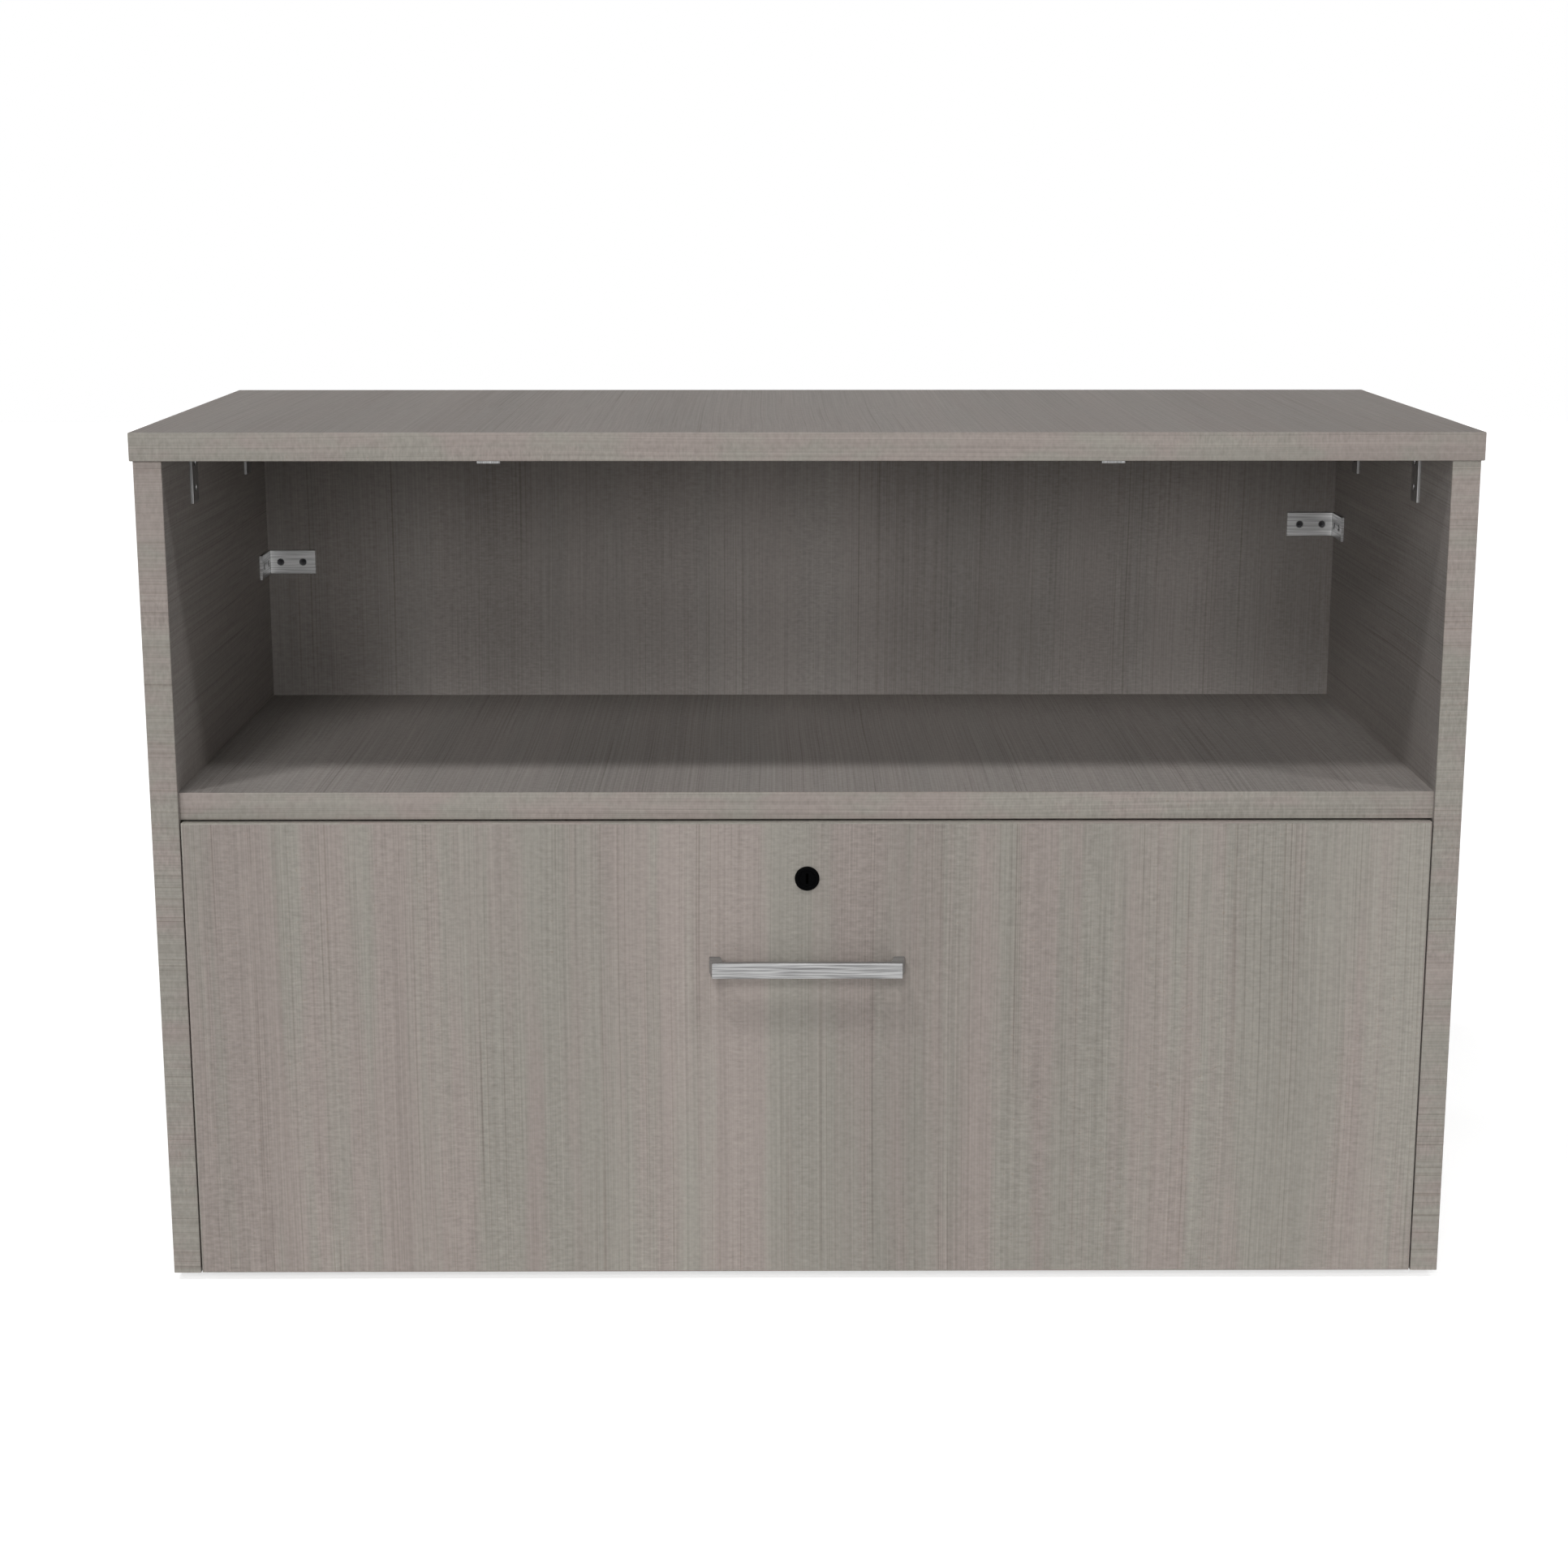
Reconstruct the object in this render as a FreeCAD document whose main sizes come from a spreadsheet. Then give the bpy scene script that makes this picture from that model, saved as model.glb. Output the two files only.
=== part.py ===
import FreeCAD, Part
import os
import re
import Sketcher
from FreeCAD import Placement, Rotation, Vector

# A low credenza: an open compartment over one wide file drawer.
# Millimetres, with X to the right, Y to the back and Z up.
# The origin lies on the floor, under the middle of the box that holds the whole object.

SIZES = {
    # Case panels
    "top_width": 901.7,
    "top_overhang": 2.0,
    "panel_thickness": 19.05,
    "back_thickness": 15.9,
    "band_thickness": 1.0,
    "case_height": 594.0,
    "clear_depth": 369.4,
    "shelf_height": 348.2,
    "shelf_setback": 4.1,
    "bottom_setback": 2.0,
    # Dowels between the ends and the shelf or bottom
    "dowel_diameter": 8.0,
    "dowel_length": 30.0,
    "dowel_end_depth": 10.0,
    "dowel_play": 0.4,
    "dowel_inset": 60.0,
    # Wood screws and their countersunk holes
    "screw_head": 5.0,
    "screw_neck": 2.6,
    "screw_head_height": 1.2,
    "screw_length": 12.0,
    "screw_recess": 0.1,
    "screw_play": 0.1,
    "screw_clearance": 0.3,
    "back_screw_length": 40.0,
    "back_screw_spread": 300.0,
    "front_screw_length": 26.0,
    "front_screw_spread": 280.0,
    "front_screw_inset": 60.0,
    # L braces
    "brace_leg": 38.1,
    "brace_width": 19.05,
    "brace_sheet": 2.0,
    "brace_near_hole": 10.2,
    "brace_end_hole": 10.0,
    "end_brace_from_front": 96.3,
    "end_brace_from_back": 75.9,
    "back_brace_spread": 250.4,
    "left_brace_drop": 117.35,
    "right_brace_drop": 87.35,
    # Levelling glides
    "glide_lift": 6.0,
    "glide_inset": 45.0,
    "foot_diameter": 28.0,
    "foot_rim": 2.5,
    "foot_gap": 0.5,
    "foot_hex": 19.6,
    "foot_floor": 2.0,
    "stud_diameter": 8.0,
    "stud_proud": 1.35,
    "thread_play": 0.1,
    "insert_diameter": 11.0,
    "insert_length": 14.0,
    "insert_flange": 20.0,
    "insert_sheet": 1.6,
    # Drawer front and drawer box
    "front_side_gap": 0.9,
    "front_top_gap": 1.4,
    "box_wall": 12.7,
    "box_rear_gap": 13.35,
    "box_clearance": 8.95,
    "box_drop": 51.75,
    "box_floor": 6.35,
    "floor_rise": 6.0,
    "groove_depth": 6.0,
    "groove_play": 0.3,
    # Hanging-file rails
    "rail_sheet": 1.5,
    "rail_ridge": 8.0,
    "rail_leg": 12.0,
    "rail_setback": 0.5,
    # Bar pull
    "pull_width": 131.0,
    "pull_flare": 2.3,
    "pull_leg": 7.6,
    "pull_bar": 4.8,
    "pull_face": 10.85,
    "pull_projection": 17.8,
    "pull_drop": 100.65,
    "pull_thread": 4.0,
    "pull_thread_depth": 7.0,
    "pull_thread_play": 0.25,
    "pull_screw_head": 8.0,
    "pull_screw_cap": 2.4,
    # Cam lock and its strike
    "lock_drop": 39.45,
    "lock_rim": 1.25,
    "lock_proud": 1.6,
    "lock_chamfer": 0.5,
    "plug_diameter": 11.0,
    "plug_recess": 0.6,
    "plug_play": 0.1,
    "barrel_wall": 1.65,
    "barrel_play": 0.25,
    "barrel_tail": 0.6,
    "keyway_width": 1.8,
    "keyway_height": 7.5,
    "keyway_depth": 10.0,
    "nut_wall": 1.25,
    "nut_height": 4.0,
    "cam_gap": 0.4,
    "cam_sheet": 2.0,
    "cam_hub": 16.0,
    "cam_arm": 12.0,
    "cam_tip_gap": 3.35,
    "cam_square": 6.0,
    "cam_screw_head": 9.0,
    "cam_screw_cap": 2.0,
    "cam_screw_thread": 3.5,
    "cam_screw_length": 8.0,
    "strike_sheet": 1.5,
    "strike_width": 40.0,
    "strike_drop": 24.0,
    "strike_depth": 24.0,
    "strike_setback": 2.0,
    "strike_hole_spread": 12.0,
    # Ball slides
    "slide_height": 45.7,
    "slide_width": 12.7,
    "slide_setback": 3.0,
    "slide_rear_gap": 29.2,
    "slide_rise": 112.0,
    "slide_sheet": 1.2,
    "flange_gap": 2.1,
    "row_gap": 4.25,
    "raceway_depth": 0.275,
    "cage_sheet": 0.5,
    "cage_play": 0.3,
    "cage_setback": 1.0,
    "cage_length": 140.0,
    "rail_hole_inset": 35.0,
}

# Counts: the flat faces of small fixed fasteners and their holes, and the screws of a slide's rail
FASTENER_FACES = 8
HEXAGON = 6
RAIL_SCREWS = 3

# How near two places are when they count as one
TOUCH = 1e-6

RIGHT = Vector(1, 0, 0)
REAR = Vector(0, 1, 0)
UP = Vector(0, 0, 1)
SIDES = {"left": "-1", "right": "1"}

# Planes of the case, as formulas of the sizes
base = "glide_lift"
front = "((pull_projection - clear_depth - back_thickness) / 2)"
behind_front = f"({front} + panel_thickness)"
back_face = f"({front} + clear_depth)"
rear = f"({back_face} + back_thickness)"
half_case = "(top_width / 2 - top_overhang)"
half_clear = f"({half_case} - panel_thickness)"
top_face = f"({base} + case_height)"
top_under = f"({top_face} - panel_thickness)"
shelf_top = f"({base} + shelf_height)"
shelf_under = f"({shelf_top} - panel_thickness)"
shelf_front = f"({front} + shelf_setback)"
bottom_top = f"({base} + panel_thickness)"
bottom_front = f"({behind_front} + bottom_setback)"

# Planes of the drawer
front_half = f"({half_clear} - front_side_gap)"
front_top = f"({shelf_under} - front_top_gap)"
box_half = f"({half_clear} - slide_width)"
box_inner = f"({box_half} - box_wall)"
box_face = f"({behind_front} + box_wall)"
box_rear = f"({back_face} - box_rear_gap)"
box_under = f"({bottom_top} + box_clearance)"
box_top = f"({front_top} - box_drop)"
floor_under = f"({box_under} + floor_rise)"
floor_top = f"({floor_under} + box_floor)"

# Axes of the pull, the lock and the slides
pull_axis = f"({front_top} - pull_drop)"
lock_axis = f"({front_top} - lock_drop)"
slide_axis = f"({box_under} + slide_rise)"
slide_start = f"({behind_front} + slide_setback)"
slide_length = f"({box_rear} - slide_rear_gap - {slide_start})"

# Holes that take a countersunk screw
screw_mouth = "(screw_head + 2 * screw_play)"
screw_waist = "(screw_neck + 2 * screw_clearance)"

doc = FreeCAD.newDocument("Credenza")
sheet = doc.addObject("Spreadsheet::Sheet", "Sizes")
for row, (alias, size) in enumerate(SIZES.items(), start=1):
    sheet.set(f"A{row}", alias)
    sheet.set(f"B{row}", str(size))
    sheet.setAlias(f"B{row}", alias)
doc.recompute()

pieces = []


def bound(formula):
    """The formula with each size's name pointing at its cell of the sheet."""
    return re.sub(r"[a-z_]+", lambda word: f"Sizes.{word[0]}" if word[0] in SIZES else word[0], formula)


def number(formula):
    """The formula's present value."""
    return float(sheet.evalExpression(bound(formula)))


def keep(piece, label):
    """Name a finished piece."""
    piece.Label = label
    pieces.append(piece)
    return piece


def place(piece, x, y, z, turn=Rotation()):
    """Turn a piece and tie its place to three formulas."""
    piece.Placement = Placement(Vector(number(x), number(y), number(z)), turn)
    for axis, formula in zip("xyz", (x, y, z)):
        piece.setExpression(f"Placement.Base.{axis}", bound(formula))
    return piece


def block(name, x, y, z):
    """A rectangular block between two X, two Y and two Z formulas."""
    solid = doc.addObject("Part::Box", name)
    for side, (low, high) in zip(("Length", "Width", "Height"), (x, y, z)):
        solid.setExpression(side, bound(f"({high}) - ({low})"))
    return place(solid, x[0], y[0], z[0])


def rod(name, diameter, length, at, axis):
    """A round bar that starts at a point and runs along an axis."""
    solid = doc.addObject("Part::Cylinder", name)
    solid.setExpression("Radius", bound(f"({diameter}) / 2"))
    solid.setExpression("Height", bound(length))
    return place(solid, *at, turn=Rotation(UP, axis))


def bar(name, across, length, at, axis, faces=FASTENER_FACES):
    """A bar with flat faces, its width given across the corners, from a point along an axis."""
    solid = doc.addObject("Part::Prism", name)
    solid.Polygon = faces
    solid.setExpression("Circumradius", bound(f"({across}) / 2"))
    solid.setExpression("Height", bound(length))
    return place(solid, *at, turn=Rotation(UP, axis))


def corners_round(diameter, faces):
    """The width across the corners of a bar or hole whose flat faces touch a circle."""
    return f"(({diameter}) / cos(180 deg / {faces}))"


def taper(name, stages):
    """A tapering bar with flat faces along Z, from its width across the corners at each height.

    A stage without a width is a point.
    """
    sections = []
    for count, (across, height) in enumerate(stages):
        kind = "Part::RegularPolygon" if across else "Part::Vertex"
        section = doc.addObject(kind, f"{name}_section_{count}")
        if across:
            section.Polygon = FASTENER_FACES
            section.setExpression("Circumradius", bound(f"({across}) / 2"))
        sections.append(place(section, "0", "0", height))
    solid = doc.addObject("Part::Loft", name)
    solid.Sections = sections
    solid.Solid = True
    solid.Ruled = True
    return solid


def countersink(name, thickness, at, axis):
    """The space of a countersunk screw hole, from its narrow end at a point to its mouth along an axis."""
    solid = taper(name, [(screw_waist, "0"), (screw_mouth, thickness)])
    return place(solid, *at, turn=Rotation(UP, axis))


def cut(name, blank, tools):
    """A blank with other solids taken out of it."""
    solid = doc.addObject("Part::Cut", name)
    solid.Base = blank
    solid.Tool = together(f"{name}_spaces", tools)
    return solid


def fuse(name, one, other):
    """Two solids as one."""
    solid = doc.addObject("Part::Fuse", name)
    solid.Base = one
    solid.Tool = other
    return solid


def outline(body, plane, corners):
    """A closed sketch of straight lines on one of the body's planes, each corner tied to two formulas."""
    sketch = body.newObject("Sketcher::SketchObject", f"{body.Name}_outline")
    sketch.AttachmentSupport = [(next(f for f in body.Origin.OriginFeatures if f.Role == plane), "")]
    sketch.MapMode = "FlatFace"
    points = [Vector(number(u), number(v), 0) for u, v in corners]
    lines = [sketch.addGeometry(Part.LineSegment(a, b)) for a, b in zip(points, points[1:] + points[:1])]
    for line, following in zip(lines, lines[1:] + lines[:1]):
        sketch.addConstraint(Sketcher.Constraint("Coincident", line, 2, following, 1))
    for line, corner in zip(lines, corners):
        for kind, formula in zip(("DistanceX", "DistanceY"), corner):
            tie = sketch.addConstraint(Sketcher.Constraint(kind, -1, 1, line, 1, number(formula)))
            sketch.setExpression(f"Constraints[{tie}]", bound(formula))
    return sketch


def extrusion(name, plane, corners, length):
    """A body drawn on one of its planes and carried straight out along +X, +Y or +Z."""
    body = doc.addObject("PartDesign::Body", name)
    pad = body.newObject("PartDesign::Pad", f"{name}_pad")
    pad.Profile = outline(body, plane, corners)
    pad.setExpression("Length", bound(length))
    pad.Reversed = plane == "XZ_Plane"
    return body


def turning(name, corners):
    """A body turned about Z, drawn as radius and height."""
    body = doc.addObject("PartDesign::Body", name)
    profile = outline(body, "XZ_Plane", corners)
    spin = body.newObject("PartDesign::Revolution", f"{name}_spin")
    spin.Profile = profile
    spin.ReferenceAxis = (profile, ["V_Axis"])
    spin.Angle = 360
    return body


def together(name, solids):
    """Separate solids as one object."""
    compound = doc.addObject("Part::Compound", name)
    compound.Links = solids
    return compound


def wood_screw(name, length, at, outward):
    """A countersunk wood screw whose core runs to a point, with the middle of its head's face at a point."""
    stages = [("screw_head", "0"), ("screw_neck", "-screw_head_height"), (None, f"-{length}")]
    return place(taper(name, stages), *at, turn=Rotation(UP, outward))


def machine_screw(name, head, cap, thread, length, at, outward):
    """A screw with a flat-ended shank, its head seated at a point."""
    cap_bar = bar(f"{name}_cap", head, cap, ("0", "0", "0"), UP)
    shank = bar(f"{name}_shank", thread, length, ("0", "0", "0"), -UP)
    return place(fuse(name, cap_bar, shank), *at, turn=Rotation(UP, outward))


def band_ring(label, x, y, z, flat):
    """An edge band round a panel that lies flat along two axes; gives the span left for the panel."""
    span = {"x": x, "y": y, "z": z}
    for axis in flat:
        low, high = span[axis]
        span[axis] = (f"{low} + band_thickness", f"{high} - band_thickness")
    outer = block(f"{label}_outer", x, y, z)
    keep(cut(f"{label}_ring", outer, [block(f"{label}_inner", *span.values())]), label)
    return span.values()


# Top
top_faces = (("-top_width / 2", "top_width / 2"), (f"{front} - top_overhang", rear), (top_under, top_face))
keep(block("top_core", *band_ring("top_edge_band", *top_faces, "xy")), "top_panel")

# Dowels of the shelf and the bottom: where each one's axis meets the end's inner face
dowel_axes = {
    "shelf_front": (f"{shelf_front} + dowel_inset", f"{shelf_top} - panel_thickness / 2"),
    "shelf_rear": (f"{back_face} - dowel_inset", f"{shelf_top} - panel_thickness / 2"),
    "bottom_front": (f"{bottom_front} + dowel_inset", f"{base} + panel_thickness / 2"),
    "bottom_rear": (f"{back_face} - dowel_inset", f"{base} + panel_thickness / 2"),
}


def dowel_bores(panel, side, depth, inward):
    """Blind dowel holes of a panel at one end of the case."""
    way = RIGHT * (float(SIDES[side]) * (-1 if inward else 1))
    spots = {key: spot for key, spot in dowel_axes.items() if not inward or key.startswith(panel)}
    face = f"{SIDES[side]} * {half_clear}"
    return [bar(f"{panel}_{side}_{key}_bore", "dowel_diameter", depth, (face, *spot), way)
            for key, spot in spots.items()]


# Ends, each with a band on its front edge
for side, sign in SIDES.items():
    reach = sorted((f"{sign} * {half_clear}", f"{sign} * {half_case}"), key=number)
    blank = block(f"{side}_end_blank", reach, (f"{front} + band_thickness", rear), (base, top_under))
    bores = dowel_bores("end", side, "dowel_end_depth", False)
    keep(cut(f"{side}_end", blank, bores), f"{side}_end_panel")
    band = block(f"{side}_end_band", reach, (front, f"{front} + band_thickness"), (base, top_under))
    keep(band, f"{side}_end_edge_band")

# Shelf and its front band
between = (f"-{half_clear}", half_clear)
shelf_depth = "dowel_length - dowel_end_depth"
shelf_bores = [bore for side in SIDES for bore in dowel_bores("shelf", side, shelf_depth, True)]
shelf_heights = (shelf_under, shelf_top)
shelf_edge = f"({shelf_front} + band_thickness)"
shelf_blank = block("shelf_blank", between, (shelf_edge, back_face), shelf_heights)
keep(cut("shelf", shelf_blank, shelf_bores), "fixed_shelf")
keep(block("shelf_band", between, (shelf_front, shelf_edge), shelf_heights), "shelf_edge_band")

# Bottom, bored for its dowels and the glides' inserts
glide_spots = {
    f"{depth}_{side}": (f"{sign} * ({half_clear} - glide_inset)", y)
    for depth, y in (("front", f"{front} + glide_inset"), ("rear", f"{back_face} - glide_inset"))
    for side, sign in SIDES.items()
}
bottom_bores = [bore for side in SIDES for bore in dowel_bores("bottom", side, shelf_depth, True)]
bottom_bores += [bar(f"{spot}_insert_bore", "insert_diameter", "panel_thickness", (*xy, base), UP)
                 for spot, xy in glide_spots.items()]
bottom_blank = block("bottom_blank", between, (bottom_front, back_face), (base, bottom_top))
keep(cut("bottom", bottom_blank, bottom_bores), "bottom_panel")

# Dowels
dowels = []
for side, sign in SIDES.items():
    start = f"{sign} * ({half_clear} + dowel_end_depth - dowel_play / 2)"
    way = RIGHT * -float(sign)
    dowels += [bar(f"{side}_{key}_dowel", "dowel_diameter", "dowel_length - dowel_play", (start, *spot), way)
               for key, spot in dowel_axes.items()]
keep(together("dowels", dowels), "panel_dowels")

# Back, with its screws into the shelf and the bottom
back_spots = [(f"{step} * back_screw_spread", height) for step in (-1, 0, 1)
              for height in (f"{shelf_top} - panel_thickness / 2", f"{base} + panel_thickness / 2")]
back_holes = [countersink(f"back_hole_{count}", "back_thickness", (x, back_face, z), REAR)
              for count, (x, z) in enumerate(back_spots)]
back_blank = block("back_blank", between, (back_face, rear), (base, top_under))
keep(cut("back", back_blank, back_holes), "back_panel")
back_seats = [(x, f"{rear} - screw_recess", z) for x, z in back_spots]
back_screws = [wood_screw(f"back_screw_{count}", "back_screw_length", spot, REAR)
               for count, spot in enumerate(back_seats)]
keep(together("screws_of_back", back_screws), "back_screws")

# L braces: one leg runs along the first direction from an inside corner, the other along the second


def brace(name, corner, along, across):
    """A bent strip with two countersunk holes in each leg, and its four screws."""
    bend = [("0", "0"), ("brace_leg", "0"), ("brace_leg", "brace_sheet"), ("brace_sheet", "brace_sheet"),
            ("brace_sheet", "brace_leg"), ("0", "brace_leg")]
    strip = extrusion(f"{name}_strip", "XY_Plane", bend, "brace_width")
    place(strip, "0", "0", "-brace_width / 2")
    head = "brace_sheet - screw_recess"
    holes = []
    screws = []
    for spot, along_leg in (("near", "brace_near_hole"), ("end", "brace_leg - brace_end_hole")):
        holes.append(countersink(f"{name}_{spot}_flat", "brace_sheet", (along_leg, "0", "0"), REAR))
        holes.append(countersink(f"{name}_{spot}_upright", "brace_sheet", ("0", along_leg, "0"), RIGHT))
        flat_seat = (along_leg, head, "0")
        upright_seat = (head, along_leg, "0")
        screws.append(wood_screw(f"{name}_{spot}_flat_screw", "screw_length", flat_seat, REAR))
        screws.append(wood_screw(f"{name}_{spot}_upright_screw", "screw_length", upright_seat, RIGHT))
    turn = Rotation(along, across, along.cross(across), "XYZ")
    bent = place(cut(name, strip, holes), *corner, turn=turn)
    return bent, place(together(f"{name}_screws", screws), *corner, turn=turn)


braces = {"end_top_braces": [], "back_top_braces": [], "back_corner_braces": []}
end_brace_places = {"front": f"{front} + end_brace_from_front", "rear": f"{back_face} - end_brace_from_back"}
for side, sign in SIDES.items():
    inward = RIGHT * -float(sign)
    wall = f"{sign} * {half_clear}"
    for spot, y in end_brace_places.items():
        braces["end_top_braces"].append(brace(f"{side}_{spot}_brace", (wall, y, top_under), inward, -UP))
    corner = (f"{sign} * back_brace_spread", back_face, top_under)
    braces["back_top_braces"].append(brace(f"{side}_back_brace", corner, -REAR, -UP))
    corner = (wall, back_face, f"{top_under} - {side}_brace_drop")
    braces["back_corner_braces"].append(brace(f"{side}_corner_brace", corner, inward, -REAR))
for label, pairs in braces.items():
    keep(together(f"{label}_group", [bent for bent, screws in pairs]), label)
brace_screws = [screws for pairs in braces.values() for bent, screws in pairs]
keep(together("screws_of_braces", brace_screws), "brace_screws")

# Levelling glides: a foot with a hexagon for a spanner, its stud and the insert that the stud turns in
stud_length = f"{bottom_top} + insert_sheet + stud_proud - foot_floor"
grip_height = "glide_lift - foot_gap - foot_rim"
inserts = []
for spot, (x, y) in glide_spots.items():
    sleeve = machine_screw(f"{spot}_sleeve", "insert_flange", "insert_sheet", "insert_diameter",
                           "insert_length", (x, y, bottom_top), UP)
    thread = rod(f"{spot}_thread", "stud_diameter + 2 * thread_play", "insert_length + insert_sheet",
                 (x, y, f"{bottom_top} - insert_length"), UP)
    inserts.append(cut(f"{spot}_insert", sleeve, [thread]))
    rim = rod(f"{spot}_rim", "foot_diameter", "foot_rim", (x, y, "0"), UP)
    grip = bar(f"{spot}_grip", "foot_hex", grip_height, (x, y, "foot_rim"), UP, HEXAGON)
    socket_width = corners_round("stud_diameter", FASTENER_FACES)
    socket = bar(f"{spot}_socket", socket_width, "glide_lift", (x, y, "foot_floor"), UP)
    keep(cut(f"{spot}_foot", fuse(f"{spot}_foot_blank", rim, grip), [socket]), f"{spot}_glide_foot")
    keep(rod(f"{spot}_stud", "stud_diameter", stud_length, (x, y, "foot_floor"), UP), f"{spot}_glide_stud")
keep(together("inserts", inserts), "glide_inserts")

# Drawer front, bored for the lock and the pull's screws
pull_post = "(pull_width / 2 + pull_flare - pull_leg / 2)"
pull_bore = "pull_thread + 2 * pull_thread_play"
barrel_diameter = "(plug_diameter + 2 * plug_play + 2 * barrel_wall)"
lock_bore = f"{barrel_diameter} + 2 * barrel_play"
front_faces = ((f"-{front_half}", front_half), (front, behind_front), (base, front_top))
front_bores = [rod("lock_bore", lock_bore, "panel_thickness", ("0", front, lock_axis), REAR)]
front_bores += [bar(f"{side}_front_pull_bore", pull_bore, "panel_thickness",
                    (f"{sign} * {pull_post}", front, pull_axis), REAR) for side, sign in SIDES.items()]
front_blank = block("front_blank", *band_ring("drawer_front_edge_band", *front_faces, "xz"))
keep(cut("front_panel", front_blank, front_bores), "drawer_front")

# Drawer box, with its bottom let into grooves
floor_heights = (floor_under, floor_top)
for side, sign in SIDES.items():
    wall = sorted((f"{sign} * {box_half}", f"{sign} * {box_inner}"), key=number)
    groove = sorted((f"{sign} * {box_inner}", f"{sign} * ({box_inner} + groove_depth)"), key=number)
    blank = block(f"{side}_box_blank", wall, (behind_front, box_rear), (box_under, box_top))
    slot = block(f"{side}_box_groove", groove, (behind_front, box_rear), floor_heights)
    keep(cut(f"{side}_box_side", blank, [slot]), f"drawer_{side}_side")
inside = (f"-{box_inner}", box_inner)
inner_front_blank = block("inner_front_blank", inside, (behind_front, box_face), (box_under, box_top))
inner_front_groove = (f"{box_face} - groove_depth", box_face)
inner_front_cuts = [block("inner_front_groove", inside, inner_front_groove, floor_heights)]
inner_front_cuts += [bar(f"{side}_inner_pull_bore", pull_bore, "box_wall",
                         (f"{sign} * {pull_post}", behind_front, pull_axis), REAR)
                     for side, sign in SIDES.items()]
front_screw_heights = (f"{box_under} + front_screw_inset", f"{box_top} - front_screw_inset")
front_screw_spots = [(f"{sign} * front_screw_spread", height)
                     for sign in SIDES.values() for height in front_screw_heights]
inner_front_cuts += [countersink(f"inner_front_hole_{count}", "box_wall", (x, behind_front, z), REAR)
                     for count, (x, z) in enumerate(front_screw_spots)]
keep(cut("inner_front", inner_front_blank, inner_front_cuts), "drawer_inner_front")
box_back_face = f"({box_rear} - box_wall)"
box_back_groove = (box_back_face, f"{box_back_face} + groove_depth")
box_back_blank = block("box_back_blank", inside, (box_back_face, box_rear), (box_under, box_top))
box_back_slot = block("box_back_groove", inside, box_back_groove, floor_heights)
keep(cut("box_back", box_back_blank, [box_back_slot]), "drawer_back")
tongue = "(groove_depth - groove_play)"
box_floor_x = (f"-({box_inner} + {tongue})", f"{box_inner} + {tongue}")
box_floor_y = (f"{box_face} - {tongue}", f"{box_back_face} + {tongue}")
keep(block("box_floor_panel", box_floor_x, box_floor_y, floor_heights), "drawer_bottom")

# Hanging-file rails: a flange on the top edge, a leg down the inner face and a ridge that the folders hang on


def file_rail(label, outer, face, inward):
    """A rail over the top edge of the inner front or the back; inward is +1 or -1 along Y."""
    lip = f"({face} + {inward} * rail_sheet)"
    edge = f"({outer} + {inward} * rail_setback)"
    foot = f"{box_top} - rail_leg"
    ridge = f"{box_top} + rail_ridge"
    flange = f"{box_top} + rail_sheet"
    corners = [(edge, box_top), (face, box_top), (face, foot), (lip, foot),
               (lip, ridge), (face, ridge), (face, flange), (edge, flange)]
    rail = extrusion(label, "YZ_Plane", corners, f"2 * {box_inner}")
    keep(place(rail, f"-{box_inner}", "0", "0"), label)


file_rail("front_file_rail", behind_front, box_face, "1")
file_rail("rear_file_rail", box_rear, box_back_face, "-1")

# Drawer front's screws, driven from inside the box
front_screw_face = f"{box_face} - screw_recess"
front_screws = [wood_screw(f"front_screw_{count}", "front_screw_length", (x, front_screw_face, z), REAR)
                for count, (x, z) in enumerate(front_screw_spots)]
keep(together("screws_of_front", front_screws), "drawer_front_screws")

# Bar pull: a flat bar on two legs that splay a little towards the drawer front
pull_half = "(pull_width / 2)"
pull_front = f"({front} - pull_projection)"
right_half = [(f"{pull_half} + pull_flare - pull_leg", front), (f"{pull_half} + pull_flare", front),
              (pull_half, pull_front)]
left_half = [(f"-({x})", y) for x, y in reversed(right_half)]
hollow = [(f"-({pull_half} - pull_leg)", f"{pull_front} + pull_bar"),
          (f"{pull_half} - pull_leg", f"{pull_front} + pull_bar")]
pull_blank = extrusion("pull_blank", "XY_Plane", right_half + left_half + hollow, "pull_face")
place(pull_blank, "0", "0", f"{pull_axis} - pull_face / 2")
pull_threads = [bar(f"{side}_pull_thread", "pull_thread", "pull_thread_depth",
                    (f"{sign} * {pull_post}", front, pull_axis), -REAR) for side, sign in SIDES.items()]
keep(cut("pull_bar", pull_blank, pull_threads), "pull")
pull_screw_reach = "(box_wall + panel_thickness + pull_thread_depth - pull_thread_play)"
pull_screws = [machine_screw(f"{side}_pull_screw", "pull_screw_head", "pull_screw_cap", "pull_thread",
                             pull_screw_reach, (f"{sign} * {pull_post}", box_face, pull_axis), REAR)
               for side, sign in SIDES.items()]
keep(together("screws_of_pull", pull_screws), "pull_screws")

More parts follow.
